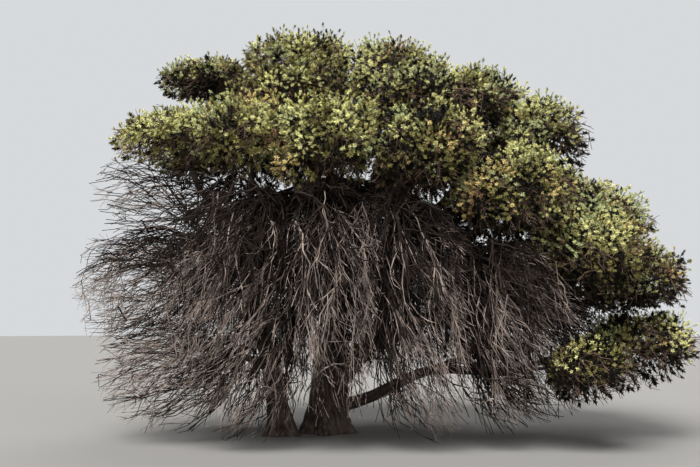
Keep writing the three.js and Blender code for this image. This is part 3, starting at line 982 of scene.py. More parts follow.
def wiggled(points: Array, amount: float, rng: Random) -> Array:
    """Let a run of points wander a little to the sides, with its two ends held.

    Args:
        points: The run, a row each.
        amount: The furthest wander, as a share of the run's length.
        rng: The source of seeded numbers.

    Returns:
        The run after its wander.
    """
    shares = np.linspace(0, 1, len(points))
    length = np.linalg.norm(points[-1] - points[0])
    side, other = across(normalized(points[-1] - points[0]))
    phases = rng.random(2) * 2 * np.pi
    turns = rng.uniform(*WANDER_CYCLES, 2) * 2 * np.pi
    swell = np.sin(np.pi * shares) * amount * length
    a = swell * np.sin(turns[0] * shares + phases[0])
    b = swell * np.sin(turns[1] * shares + phases[1])
    return points + a[:, None] * side + b[:, None] * other


def arched(start: Array, tip: Array, arrive: Array, radii: Pair, rng: Random) -> Twigs:
    """Curve a twig from a node to a tip.

    Args:
        start: The node.
        tip: The tip.
        arrive: The way that the twig turns to as it arrives, at length 1.
        radii: The radii at the node and at the tip.
        rng: The source of seeded numbers.

    Returns:
        The twig.
    """
    shares = np.linspace(0, 1, ARCH_CORNERS)
    way = normalized(arrive * ARCH_ARRIVAL + normalized(tip - start))
    bend = tip - way * np.linalg.norm(tip - start) * ARCH_BEND
    points = wiggled(bezier((start, bend, tip), shares), ARCH_WANDER, rng)
    return Twigs.single(points, np.interp(shares, (0, 1), radii))


@dataclass(frozen=True)
class TwigRule:
    """How side twigs leave what carries them, sag under their weight and curl up at their tips."""

    spacing: float
    length: Pair
    spread: Pair
    radii: Pair
    corners: int
    sag: float = 1.3
    curl: float = 1.6
    kink: float = 0.2
    places: Pair = (0.1, 1.0)

    def grow(self, parents: Twigs, flow: Array, rng: Random) -> Twigs:
        """Grow side twigs along each parent.

        Args:
            parents: The twigs that carry them.
            flow: The level way that their tips curl to, at length 1.
            rng: The source of seeded numbers.

        Returns:
            The side twigs.
        """
        span = self.places[1] - self.places[0]
        wanted = parents.lengths() * span / self.spacing
        counts = (wanted + rng.random(len(parents.kept))).astype(int)
        owners = np.repeat(np.arange(len(counts)), counts)
        count = len(owners)
        start, forward, thick = parents.at(owners, rng.uniform(*self.places, count))
        out = normalized(np.cross(forward, rng.normal(size=(count, 3))))
        angle = rng.uniform(*self.spread, count)[:, None]
        way = forward * np.cos(angle) + out * np.sin(angle)
        step = (rng.uniform(*self.length, count) / (self.corners - 1))[:, None]
        rows = [start]
        for corner in range(self.corners - 1):
            share = (corner + 0.5) / (self.corners - 1)
            turned = way + rng.normal(scale=self.kink, size=(count, 3)) - UP * self.sag * share
            turned += (flow + UP) * self.curl * share**3
            rows.append(rows[-1] + normalized(turned) * step)
        base = np.minimum(self.radii[0], thick * SIDE_THICKNESS)[:, None]
        radii = base + (self.radii[1] - base) * np.linspace(0, 1, self.corners)
        return Twigs(np.stack(rows, axis=1), radii, np.full(count, self.corners))


SIDE_TWIGS = {
    Wood.WEATHERED: TwigRule(0.24, (0.3, 1.1), (0.12, 0.5), (0.0062, 0.0026), 4, kink=0.12),
    Wood.DARK: TwigRule(0.24, (0.3, 1.1), (0.12, 0.5), (0.0105, 0.005), 4, kink=0.12),
}
FINE_TWIGS = {
    Wood.WEATHERED: TwigRule(0.2, (0.1, 0.32), (0.3, 0.9), (0.0036, 0.002), 2, kink=0.1),
    Wood.DARK: TwigRule(0.3, (0.1, 0.32), (0.3, 0.9), (0.0068, 0.0038), 2, kink=0.1),
}
HANGER_SIDES = TwigRule(0.14, (0.18, 0.5), (0.35, 0.95), (0.009, 0.0042), 4)
HANGER_FINE = TwigRule(0.16, (0.08, 0.22), (0.4, 1.0), (0.006, 0.0032), 2)


@dataclass
class Growth:
    """All that grows in the masses, sorted by its finish."""

    tree: Tree
    twigs: dict[Wood, list[Twigs]] = field(default_factory=lambda: {wood: [] for wood in Wood})
    sprays: list[Sprays] = field(default_factory=list)

    def keep(self, mass: Mass, wood: Wood, twigs: Twigs, radius: float, least: int = 0) -> Twigs:
        """Keep what stays in its mass's space and clear of the limbs.

        Args:
            mass: The mass that the twigs grow in.
            wood: Their kind.
            twigs: The twigs to test.
            radius: The room that they need about their middles.
            least: The fewest corners that a twig must keep, or 0 for all of them.

        Returns:
            The twigs that were kept.
        """
        kept = self.tree.space.cut(mass, twigs, radius, least or twigs.points.shape[1])
        if len(kept.kept):
            self.twigs[wood].append(kept)
        return kept


def padded(rows: Array) -> Array:
    """Repeat each twig's last corner until it has as many corners as a strand."""
    more = np.repeat(rows[:, -1:], STRAND_CORNERS - rows.shape[1], axis=1)
    return np.concatenate([rows, more], axis=1)


@dataclass
class BareMass:
    """A mass of bare twigs: ribs from its stem, long strands, and ever finer side twigs."""

    mass: Mass
    growth: Growth
    strands_per_volume: float = 25.0
    tries_per_strand: int = 3
    own_strands: int = 10
    strands_with_nodes: int = 40
    fan_roots: int = 3
    radii: Pair = (0.0092, 0.0036)
    thickness: Pair = (0.7, 0.8)
    thin_bias: int = 3
    lengths: Pair = (0.5, 1.4)
    least_share: float = 0.45
    tip_share: float = 0.7
    sweep: float = 0.32
    sweep_noise: float = 0.4
    sweep_level: Triple = (1, 1, 0.3)
    tip_drop: Pair = (-0.05, 0.08)
    wander: float = 0.028
    rib_shares: Pair = (0.94, 0.5)
    cap_heights: Pair = (1.0, 0.3)
    cap_shares: Pair = (0.75, 0.97)
    cap_length: float = 0.4
    cap_tip: float = 0.005
    outer_chance: Pair = (-0.7, 0.8)
    outer_below: float = -0.1
    outer_fall: float = 1.3
    side_room: float = 0.005
    fine_room: float = 0.003
    habit: HabitRule = field(init=False)
    flow: Array = field(init=False)
    lean: Array = field(init=False)

    def __post_init__(self) -> None:
        """Choose the mass's habit, the level way that its tips sweep to, and its strands' lean."""
        plan = self.mass.plan
        self.habit = HABITS[plan.habit]
        self.flow = normalized(np.array(plan.flow, float))
        outwards, down = plan.lean
        self.lean = normalized(self.flow * outwards - UP * down)

    def strand(
        self, wood: Wood, start: Array, tip: Array, k: int, rise: float, rng: Random
    ) -> Twigs:
        """Let a strand leave its node, hang, and sweep outwards to its tip.

        Args:
            wood: Its kind.
            start: The node.
            tip: The tip.
            k: The tip's number.
            rise: How far the strand rises before it hangs, as a share of its length.
            rng: The source of seeded numbers.

        Returns:
            The strand.
        """
        length = float(np.linalg.norm(tip - start))
        angle = 2 * math.pi * unit(self.mass.key, k, 8)
        sway = BARE_SWAY * length * np.array([math.cos(angle), math.sin(angle), 0])
        bend = (start + tip) / 2 + sway + UP * rise * length
        aside = rng.normal(scale=self.sweep_noise, size=3) * self.sweep_level
        sweep = normalized(self.flow + aside)
        last = tip - (sweep * self.sweep - UP * rng.uniform(*self.tip_drop)) * length
        shares = np.linspace(0, 1, STRAND_CORNERS)
        points = wiggled(bezier((start, bend, last, tip), shares), self.wander, rng)
        radii = self.habit.dark_radii if wood is Wood.DARK else self.radii
        least, more = self.thickness
        scale = least + more * rng.random() ** self.thin_bias
        return Twigs.single(points, np.interp(shares, (0, 1), radii) * scale)

    def grow(self) -> None:
        """Grow the mass's ribs, caps, strands and side twigs."""
        mains: dict[Wood, list[Twigs]] = {Wood.WEATHERED: [], Wood.DARK: []}
        nodes = self.grow_ribs(mains[Wood.DARK])
        self.grow_caps(nodes, mains[Wood.DARK])
        self.grow_strands(nodes, mains)
        mass, bends = self.mass, {"sag": self.habit.sag, "curl": self.habit.curl}
        rng = mass.draws(Draw.SIDES)
        for wood, strands in mains.items():
            if strands:
                side_rule = replace(SIDE_TWIGS[wood], **bends)
                fine_rule = replace(FINE_TWIGS[wood], **bends)
                sides = side_rule.grow(Twigs.joined(strands), self.flow, rng)
                sides = self.growth.keep(mass, wood, sides, self.side_room, 3)
                self.growth.keep(mass, wood, fine_rule.grow(sides, self.flow, rng), self.fine_room)

    def grow_ribs(self, mains: list[Twigs]) -> Array:
        """Grow the dark ribs that carry the strands.

        Args:
            mains: The mass's dark twigs that bear side twigs, which this adds to.

        Returns:
            The nodes on the mass's stem and on the ribs.
        """
        mass, habit = self.mass, self.habit
        nodes = self.growth.tree.first_nodes(mass)
        root = nodes[: self.fan_roots]
        for j in range(habit.ribs):
            rng = mass.draws(Draw.RIBS + j)
            direction = mass.direction(j, habit.rib_heights, Stream.RIBS)
            tip = self.growth.tree.space.seat(mass, direction, *self.rib_shares)
            if tip is None:
                continue
            fans = mass.plan.habit is Habit.FANS
            start = root[j % len(root)] if fans else node_for(nodes, tip)
            rib = self.strand(Wood.DARK, start, tip, Draw.RIBS + j, rng.uniform(*habit.rise), rng)
            rib = self.growth.keep(mass, Wood.DARK, rib, habit.dark_radii[0], STRAND_CORNERS // 2)
            if len(rib.kept):
                nodes = extended(nodes, rib.points[0, : rib.kept[0]])
                mains.append(rib)
        return nodes

    def grow_caps(self, nodes: Array, mains: list[Twigs]) -> None:
        """Arch dark twigs over the top of the mass.

        Args:
            nodes: The nodes that they can grow from.
            mains: The mass's dark twigs that bear side twigs, which this adds to.
        """
        mass, radii = self.mass, (self.habit.dark_radii[0], self.cap_tip)
        for j in range(self.habit.caps):
            rng = mass.draws(Draw.CAPS + j)
            direction = mass.direction(j, self.cap_heights, Stream.CAPS)
            limit = rng.uniform(*self.cap_shares)
            tip = self.growth.tree.space.seat(mass, direction, limit, self.rib_shares[1])
            if tip is None:
                continue
            cap = arched(node_for(nodes, tip, self.cap_length, rng), tip, UP, radii, rng)
            cap = self.growth.keep(mass, Wood.DARK, cap, self.radii[0], 3)
            if len(cap.kept):
                mains.append(replace(cap, points=padded(cap.points), radii=padded(cap.radii)))

    def grow_strands(self, nodes: Array, mains: dict[Wood, list[Twigs]]) -> None:
        """Grow the strands: the solid's own ones first, then many longer ones.

        Args:
            nodes: The nodes that strands can grow from.
            mains: The mass's twigs that bear side twigs by kind, which this adds to.
        """
        mass = self.mass
        crowding = self.strands_per_volume * mass.plan.crowding
        wanted = int(crowding * 4 / 3 * math.pi * float(np.prod(mass.half)))
        grown = 0
        for k in range(wanted * self.tries_per_strand):
            if grown == wanted:
                break
            rng = mass.draws(Draw.STRANDS + k)
            own = k <= self.own_strands
            if own:
                tip = mass.target(k)
            else:
                direction = mass.direction(k, self.habit.tip_heights, Stream.TIPS)
                limit = rng.uniform(self.tip_share, TIP_SHARES[1])
                tip = self.growth.tree.space.seat(mass, direction, limit, self.least_share)
            if tip is None:
                continue
            if own:
                start, rise = node_for(nodes, tip), BARE_RISE
            else:
                length = self.habit.length * rng.uniform(*self.lengths)
                start = node_for(nodes, tip, length, rng, self.lean)
                rise = rng.uniform(*self.habit.rise)
            wood = self.wood((tip - mass.middle) / mass.half, rng)
            strand = self.strand(wood, start, tip, k, rise, rng)
            strand = self.growth.keep(mass, wood, strand, self.radii[0], STRAND_CORNERS // 2)
            if not len(strand.kept):
                continue
            grown += 1
            mains[wood].append(strand)
            if grown < self.strands_with_nodes:
                corners = strand.points[0, : strand.kept[0] * 2 // 3 + 1]
                nodes = extended(nodes, corners)

    def wood(self, place: Array, rng: Random) -> Wood:
        """Choose a strand's kind: weathered further out, and dark inside and at the top, partly
        bark kept brown there and partly painted shade under the crown.

        Args:
            place: Where its tip lies on the mass's unit ball.
            rng: The source of seeded numbers.

        Returns:
            The kind.
        """
        outer = float(self.flow @ place)
        # Painted shade: tips high in the mass, under the crown, lean to the dark kind
        outer -= self.outer_fall * max(0.0, float(place[2]) - self.outer_below)
        return Wood.WEATHERED if outer > rng.uniform(*self.outer_chance) else Wood.DARK


@dataclass(frozen=True)
class TintRule:
    """How likely each tint is on the upper and the lower half of a mass: lighter tints above, and
    olive, brown and shade below, partly the tree's own colours and partly painted light and shade.
    """

    upper: tuple[float, ...] = (0.46, 0.24, 0.2, 0.03, 0.04, 0.03)
    lower: tuple[float, ...] = (0.12, 0.12, 0.4, 0.06, 0.18, 0.12)
    level: float = 0.45

    def pick(self, height: float, golden: float, rng: Random) -> int:
        """Choose a tint for a lump.

        Args:
            height: Its height on the mass's unit ball.
            golden: How much more likely the golden tint is in this mass.
            rng: The source of seeded numbers.

        Returns:
            The tint's place in the list of tints.
        """
        share = min(1.0, max(0.0, self.level + height))
        weights = np.array(self.upper) * share + np.array(self.lower) * (1 - share)
        weights[GOLDEN] *= golden
        return int(rng.choice(len(TINTS), p=weights / weights.sum()))


@dataclass
class Lump:
    """A rounded lump of foliage: its middle, radius, the way that it faces, height and tint."""

    middle: Array
    radius: float
    way: Array
    height: float
    tint: int


@dataclass
class FoliageMass:
    """A dense mass: branches from its stem, lumps of shoots at its edge, and dead twigs beneath."""

    mass: Mass
    growth: Growth
    branches: int = 8
    branch_heights: Pair = (0.85, -0.5)
    branch_share: float = 0.6
    branch_radii: Pair = (0.02, 0.008)
    lumps: int = 74
    bare_below: float = 0.5
    lump_radius: Pair = (0.15, 0.27)
    lump_spacing: float = 0.95
    least_share: float = 0.42
    lift: float = 0.5
    twig_radii: Pair = (0.009, 0.004)
    sink: float = 0.3
    deep_share: float = 0.55
    shoots: int = 33
    fewest_shoots: int = 6
    full_radius: float = 0.28
    shoot_radii: Triple = (0.0042, 0.0032, 0.002)
    shoot_reach: Pair = (0.8, 1.05)
    shoot_bow: float = 0.02
    dome: float = 1.9
    long_shoots: float = 0.1
    long_reach: float = 0.3
    spray_seats: tuple[Pair, ...] = ((0.5, 0.055), (0.76, 0.06), (1.0, 0.0))
    spray_size: Pair = (0.85, 1.15)
    spray_growth: Pair = (0.9, 1.15)
    spray_lean: float = 0.9
    spray_rise: float = 0.35
    heads: int = 11
    head_edge: Pair = (0.8, 0.96)
    valley: float = 0.88
    shaded: Pair = (-1.0, -0.25)
    stray: float = 0.22
    inner_sprays: int = 2
    inner_size: float = 1.9
    inner_spread: float = 0.32
    inner_rise: float = 0.3
    core_sprays: int = 300
    core_share: float = 0.74
    core_share_below: float = 0.93
    core_size: Pair = (1.6, 2.3)
    core_fill: float = 0.4
    hangers: int = 64
    hanger_heights: Pair = (0.3, -0.98)
    hanger_shares: Pair = (0.7, 0.98)
    hanger_lengths: Pair = (0.3, 0.9)
    hanger_radii: Pair = (0.011, 0.0038)
    hanger_rooms: Triple = (0.009, 0.004, 0.003)
    tint_rule: TintRule = TintRule()

    def grow(self) -> None:
        """Grow the mass's branches, lumps and hanging dead twigs."""
        mass = self.mass
        nodes = self.growth.tree.first_nodes(mass)
        for j in range(self.branches):
            rng = mass.draws(Draw.RIBS + j)
            direction = mass.direction(j, self.branch_heights, Stream.RIBS)
            tip = mass.edge(direction, self.branch_share)
            branch = arched(node_for(nodes, tip), tip, UP, self.branch_radii, rng)
            if len(self.growth.keep(mass, Wood.LEAFY, branch, self.branch_radii[0]).kept):
                nodes = extended(nodes, branch.points[0])
        lumps, nodes = self.grow_lumps(nodes)
        if lumps:
            self.grow_shoots(lumps)
        self.grow_hangers(nodes)

    def grow_lumps(self, nodes: Array) -> tuple[list[Lump], Array]:
        """Place lumps at even places over the mass's edge and grow a twig to each.

        Args:
            nodes: The nodes that twigs can grow from.

        Returns:
            The lumps, and the nodes with those of the new twigs.
        """
        mass = self.mass
        lumps: list[Lump] = []
        heights = (1.0, mass.plan.lowest)
        heads = np.array([mass.direction(k, heights, Stream.HEADS) for k in range(self.heads)])
        for k in range(self.lumps):
            rng = mass.draws(Draw.LUMPS + k)
            direction = mass.direction(k, heights, Stream.TIPS) if k else mass.crest()
            near = float((heads @ direction).max())
            head = float(np.interp(near, self.head_edge, (self.valley, 1.0)))
            limit = lerp(TIP_SHARES, unit(mass.key, k, 3)) * (head if k else 1.0)
            top = self.growth.tree.space.seat(mass, direction, limit, self.least_share)
            if top is None:
                continue
            if rng.random() > mass.plan.filled - self.bare_below * max(0.0, -direction[2]):
                continue
            radius = lerp(self.lump_radius, rng.random())
            outward = mass.outward(top)
            middle = top - outward * radius
            spacing = self.lump_spacing * radius
            if any(np.linalg.norm(lump.middle - middle) < spacing for lump in lumps):
                continue
            way = normalized(outward + self.lift * UP)
            base = middle - way * radius * self.sink
            twig = arched(node_for(nodes, base), base, way, self.twig_radii, rng)
            if not len(self.growth.keep(mass, Wood.LEAFY, twig, self.twig_radii[0]).kept):
                continue
            nodes = extended(nodes, twig.points[0])
            tint = self.lump_tint(float(direction[2]), head, rng)
            lumps.append(Lump(middle, radius, way, float(direction[2]), tint))
        return lumps, nodes

    def lump_tint(self, height: float, head: float, rng: Random) -> int:
        """Choose a lump's tint, with painted shade in the valleys between heads and on shaded
        masses.

        Args:
            height: Its height on the mass's unit ball.
            head: How far out it sits: 1 on a head, and the least in a valley between heads.
            rng: The source of seeded numbers.

        Returns:
            The tint's place in the list of tints.
        """
        plan = self.mass.plan
        tint = self.tint_rule.pick(height + plan.lit, plan.golden, rng)
        # Painted shade: lumps deeper in a valley, and a share of a shaded mass's lumps, get the
        # shade tint or olive
        deep = (1.0 - head) / (1.0 - self.valley) * (self.deep_share - plan.lit)
        if rng.random() < max(deep, plan.shaded):
            return SHADE if rng.random() < 0.5 else OLIVE
        return tint

    def grow_shoots(self, lumps: Sequence[Lump]) -> None:
        """Grow each lump's shoots, and sprays of needles on them.

        Args:
            lumps: The mass's lumps.
        """
        mass, space = self.mass, self.growth.tree.space
        rng = mass.draws(Draw.SHOOTS)
        radii = np.array([lump.radius for lump in lumps])
        counts = self.shoots * (radii / self.full_radius) ** 2
        counts = np.maximum(self.fewest_shoots, counts).astype(int)
        owners = np.repeat(np.arange(len(lumps)), counts)
        rank = np.concatenate([np.arange(count) for count in counts])
        middles = np.array([lump.middle for lump in lumps])[owners]
        ways = np.array([lump.way for lump in lumps])
        frames = [across(way) for way in ways]
        sides = np.array([pair[0] for pair in frames])[owners]
        others = np.array([pair[1] for pair in frames])[owners]
        radius = radii[owners][:, None]
        level = 1 - (rank + 0.5) / counts[owners] * (1 - math.cos(self.dome))
        turn = rank * GOLDEN_ANGLE + rng.random(len(lumps))[owners] * 2 * np.pi
        flat = np.sqrt(1 - level**2)
        facing = ways[owners] * level[:, None]
        aside = sides * np.cos(turn)[:, None] + others * np.sin(turn)[:, None]
        facing += aside * flat[:, None]
        starts = middles - ways[owners] * radius * self.sink
        reach = rng.uniform(*self.shoot_reach, len(owners))
        reach += self.long_reach * (rng.random(len(owners)) < self.long_shoots)
        ends = middles + facing * radius * reach[:, None]
        points = np.stack([starts, (starts + ends) / 2 + facing * self.shoot_bow, ends], axis=1)
        thickness = np.tile(self.shoot_radii, (len(owners), 1))
        shoots = Twigs(points, thickness, np.full(len(owners), 3))
        shoots = space.cut(mass, shoots, 0.0, 1)
        alive = shoots.kept >= 2
        shoots, owners, facing = shoots.chosen(alive), owners[alive], facing[alive]
        self.growth.twigs[Wood.LEAFY].append(shoots.straightened())
        self.grow_sprays(lumps, shoots, owners, facing, rng)

    def grow_sprays(
        self,
        lumps: Sequence[Lump],
        shoots: Twigs,
        owners: Array,
        facing: Array,
        rng: Random,
    ) -> None:
        """Set sprays about the outer half of each shoot, and larger ones inside the lumps in
        painted shade.

        Args:
            lumps: The mass's lumps.
            shoots: The shoots.
            owners: The lump of each shoot.
            facing: The way that each shoot faces.
            rng: The source of seeded numbers.
        """
        mass, plan, space = self.mass, self.mass.plan, self.growth.tree.space
        tints = np.array([lump.tint for lump in lumps])[owners]
        for index in np.flatnonzero(rng.random(len(owners)) < self.stray):
            height = lumps[owners[index]].height + plan.lit
            tints[index] = self.tint_rule.pick(height, plan.golden, rng)
        # Painted shade: shoots that face down get the shade tint
        shade = facing[:, 2] < rng.uniform(*self.shaded, len(owners)) - plan.lit
        tints[shade] = SHADE
        each = np.repeat(np.arange(len(owners)), len(self.spray_seats))
        seats = np.tile(np.array(self.spray_seats), (len(owners), 1))
        places, way, _ = shoots.at(each, seats[:, 0])
        out = normalized(np.cross(way, rng.normal(size=(len(each), 3))))
        aside = seats[:, 1:] > 0
        roots = places + out * seats[:, 1:]
        axes = normalized(facing[each] + out * aside * self.spray_lean + UP * self.spray_rise)
        sizes = rng.uniform(*self.spray_size, len(each))
        sizes *= np.where(aside[:, 0], *self.spray_growth)
        inner = np.repeat(np.arange(len(lumps)), self.inner_sprays)
        jitter = rng.normal(size=(len(inner), 3))
        middles = np.array([lump.middle for lump in lumps])[inner]
        spread = np.array([lump.radius for lump in lumps])[inner][:, None] * self.inner_spread
        roots = np.concatenate([roots, middles + jitter * spread])
        axes = np.concatenate([axes, normalized(jitter + UP * self.inner_rise)])
        sizes = np.concatenate([sizes, np.full(len(inner), self.inner_size)])
        tints = np.concatenate([tints[each], self.inside_tints(len(inner), rng)])
        sprays = Sprays(roots, axes, sizes, tints)
        for batch in (sprays, self.core()):
            reach = batch.roots + batch.ways * (batch.sizes * NEEDLE_SPRAY.length)[:, None]
            free = space.free(mass, reach, 0.0) & space.free(mass, batch.roots, 0.0)
            self.growth.sprays.append(batch.chosen(free))

    def core(self) -> Sprays:
        """Return the large sprays of inner growth, in painted shade, that darken the inside of the
        mass.
        """
        rng = self.mass.draws(Draw.CORE)
        ways = normalized(rng.normal(size=(self.core_sprays, 3)))
        shares = np.where(ways[:, 2:] < 0, self.core_share_below, self.core_share)
        shares = shares * rng.random((self.core_sprays, 1)) ** self.core_fill
        roots = self.mass.middle + ways * self.mass.half * shares
        sizes = rng.uniform(*self.core_size, self.core_sprays)
        return Sprays(roots, ways, sizes, self.inside_tints(self.core_sprays, rng))

    def inside_tints(self, count: int, rng: Random) -> Array:
        """Return the tints of sprays inside the mass: painted shade, but olive for a share in a lit
        mass.
        """
        light = rng.random(count) < self.mass.plan.lit
        return np.where(light, OLIVE, SHADE)

    def grow_hangers(self, nodes: Array) -> None:
        """Hang dead twigs under the mass, with side twigs.

        Args:
            nodes: The nodes that twigs can grow from.
        """
        mass = self.mass
        mains = []
        flow = normalized((mass.middle - np.array(CROWN_MIDDLE)) * (FLOW_SIDEWAYS, 1, 0))
        for j in range(self.hangers):
            rng = mass.draws(Draw.HANGERS + j)
            direction = mass.direction(j, self.hanger_heights, Stream.HANGERS)
            tip = mass.edge(direction, rng.uniform(*self.hanger_shares))
            start = node_for(nodes, tip, rng.uniform(*self.hanger_lengths), rng)
            hanger = arched(start, tip, normalized(flow - UP), self.hanger_radii, rng)
            hanger = self.growth.keep(mass, Wood.DEAD, hanger, self.hanger_rooms[0], 3)
            if len(hanger.kept):
                mains.append(hanger)
        if mains:
            rng = mass.draws(Draw.HANGER_SIDES)
            sides = HANGER_SIDES.grow(Twigs.joined(mains), flow, rng)
            sides = self.growth.keep(mass, Wood.DEAD, sides, self.hanger_rooms[1], 2)
            fine = HANGER_FINE.grow(sides, flow, rng)
            self.growth.keep(mass, Wood.DEAD, fine, self.hanger_rooms[2])


def srgb(*values: int) -> Color:
    """Return a colour given in display values of 0 to 255 as scene values."""
    shares = [value / 255 for value in values]
    return *(s / 12.92 if s <= 0.04045 else ((s + 0.055) / 1.055) ** 2.4 for s in shares), 1.0


class Graph:
    """A tree of nodes of any kind, with short calls to add and join them."""

    def __init__(self, tree: bpy.types.NodeTree) -> None:
        """Take up a tree.

        Args:
            tree: The tree.
        """
        self.nodes = tree.nodes
        self.links = tree.links

    def fill(self, node: bpy.types.Node, inputs: dict[int | str, object]) -> bpy.types.Node:
        """Set a node's inputs.

        Args:
            node: The node.
            inputs: Values or output sockets, by the input's place or name.

        Returns:
            The node.
        """
        for place, value in inputs.items():
            if isinstance(value, Socket):
                self.links.new(value, node.inputs[place])
            else:
                node.inputs[place].default_value = value
        return node

    def add(
        self, kind: str, inputs: dict[int | str, object] | None = None, **settings: object
    ) -> bpy.types.Node:
        """Add a node.

        Args:
            kind: The node's type.
            inputs: Values or output sockets, by the input's place or name.
            settings: The node's own properties.

        Returns:
            The node.
        """
        node = self.nodes.new(kind)
        for name, value in settings.items():
            setattr(node, name, value)
        return self.fill(node, inputs or {})


class Shading(Graph):
    """A material and its nodes."""

    def __init__(self, name: str) -> None:
        """Start a material with its surface shader.

        Args:
            name: The material's name.
        """
        self.material = bpy.data.materials.new(name)
        self.material.use_nodes = True
        super().__init__(self.material.node_tree)

    def noise(self, vector: Socket, scale: float, detail: float = 3.0) -> Socket:
        """Return the value of a noise texture over a vector."""
        inputs = {"Vector": vector, "Scale": scale, "Detail": detail}
        return self.add("ShaderNodeTexNoise", inputs).outputs["Fac"]

    def ramp(self, value: Socket, *stops: tuple[float, Color]) -> Socket:
        """Let a colour follow a value through some stops.

        Args:
            value: The value, from 0 to 1.
            stops: A place and a colour for each stop.

        Returns:
            The colour.
        """
        node = self.add("ShaderNodeValToRGB", {"Fac": value})
        elements = node.color_ramp.elements
        while len(elements) < len(stops):
            elements.new(0.5)
        for element, (place, color) in zip(elements, stops):
            element.position = place
            element.color = color
        return node.outputs["Color"]

    def mixed(self, share: object, first: object, second: object) -> Socket:
        """Return a mix of two colours."""
        inputs = {0: share, 6: first, 7: second}
        return self.add("ShaderNodeMix", inputs, data_type="RGBA").outputs[2]

    def scaled(self, vector: Socket, scale: Triple) -> Socket:
        """Return a vector stretched along its axes."""
        return self.add("ShaderNodeMapping", {"Vector": vector, "Scale": scale}).outputs[0]

    def coordinates(self) -> Socket:
        """Return the Object coordinates."""
        return self.add("ShaderNodeTexCoord").outputs["Object"]

    def bump(self, height: Socket, strength: float, distance: float) -> Socket:
        """Return the normal that a height gives the surface."""
        inputs = {"Height": height, "Strength": strength, "Distance": distance}
        return self.add("ShaderNodeBump", inputs).outputs["Normal"]

    def surfaced(self, color: object, roughness: float, **more: object) -> bpy.types.Material:
        """Set the surface shader.

        Args:
            color: Its colour.
            roughness: Its roughness.
            more: More of its inputs, named with underscores for spaces.

        Returns:
            The material.
        """
        inputs = {name.replace("_", " "): value for name, value in more.items()}
        inputs |= {"Base Color": color, "Roughness": roughness}
        self.fill(self.nodes["Principled BSDF"], inputs)
        return self.material


@dataclass(frozen=True)
class BarkFinish:
    """Bark: fibrous strips along the limb, from dark reddish brown to weathered grey."""

    name: str = "juniper_bark"
    deep: Color = srgb(21, 15, 12)
    brown: Color = srgb(54, 40, 33)
    grey: Color = srgb(96, 84, 76)
    fibres: Triple = (26.0, 26.0, 2.6)
    strip_stops: Triple = (0.36, 0.52, 0.68)
    patch_scale: float = 3.0
    patch_stops: Pair = (0.42, 0.66)
    patch_share: float = 0.55
    relief: float = 0.5
    depth: float = 0.012
    roughness: float = 0.92

    def material(self) -> bpy.types.Material:
        """Build the material."""
        shading = Shading(self.name)
        grain = shading.add("ShaderNodeAttribute", attribute_name="grain")
        fibres = shading.noise(shading.scaled(grain.outputs["Vector"], self.fibres), 1.0, 5.0)
        strips = shading.ramp(fibres, *zip(self.strip_stops, (self.deep, self.brown, self.grey)))
        patches = shading.noise(shading.coordinates(), self.patch_scale, 4.0)
        shares = (0, 0, 0, 1), (*[self.patch_share] * 3, 1)
        weather = shading.ramp(patches, *zip(self.patch_stops, shares))
        color = shading.mixed(weather, strips, self.grey)
        normal = shading.bump(fibres, self.relief, self.depth)
        return shading.surfaced(color, self.roughness, Normal=normal)


@dataclass(frozen=True)
class TwigFinish:
    """Twigs: two tones in long patches, a fine grain, and brown higher up under the crown, partly
    bark kept brown there and partly painted shade.
    """

    name: str
    first: Color
    second: Color
    # Painted shade, partly brown bark: the colour that twigs take above a sloping height under the
    # crown
    above: Color | None = None
    shade_heights: Pair = (2.8, 3.6)
    shade_slope: Triple = (0.22, 0.0, 1.0)
    stretch: Triple = (4.0, 4.0, 0.8)
    patch_scale: float = 2.3
    contrast: float = 3.2
    balance: float = 0.38
    grain_scale: float = 60.0
    relief: float = 0.3
    depth: float = 0.002
    roughness: float = 0.88
    specular: float = 0.15

    def material(self) -> bpy.types.Material:
        """Build the material."""
        shading = Shading(self.name)
        place = shading.coordinates()
        patches = shading.noise(shading.scaled(place, self.stretch), self.patch_scale)
        inputs = {0: patches, 1: self.contrast, 2: self.balance - self.contrast / 2}
        share = shading.add("ShaderNodeMath", inputs, operation="MULTIPLY_ADD")
        color = shading.mixed(share.outputs[0], self.first, self.second)
        # Painted shade: darken towards the brown above a sloping height, which lies lower on the
        # right than on the left
        if self.above:
            inputs = {0: place, 1: self.shade_slope}
            level = shading.add("ShaderNodeVectorMath", inputs, operation="DOT_PRODUCT")
            low, high = self.shade_heights
            inputs = {"Value": level.outputs["Value"], "From Min": low, "From Max": high}
            shade = shading.add("ShaderNodeMapRange", inputs)
            color = shading.mixed(shade.outputs["Result"], color, self.above)
        grain = shading.noise(place, self.grain_scale, 2.0)
        normal = shading.bump(grain, self.relief, self.depth)
        return shading.surfaced(
            color, self.roughness, Specular_IOR_Level=self.specular, Normal=normal
        )


@dataclass(frozen=True)
class NeedleFinish:
    """Needles of one tint, with a faint mottle."""

    name: str
    color: Color
    tones: Pair = (0.72, 1.2)
    mottle_scale: float = 14.0
    mottle_stops: Pair = (0.35, 0.65)
    roughness: float = 0.55
    specular: float = 0.15

    def material(self) -> bpy.types.Material:
        """Build the material."""
        shading = Shading(self.name)
        mottle = shading.noise(shading.coordinates(), self.mottle_scale, 2.0)
        colors = [
            (*(min(1.0, channel * tone) for channel in self.color[:3]), 1.0) for tone in self.tones
        ]
        color = shading.ramp(mottle, *zip(self.mottle_stops, colors))
        return shading.surfaced(color, self.roughness, Specular_IOR_Level=self.specular)


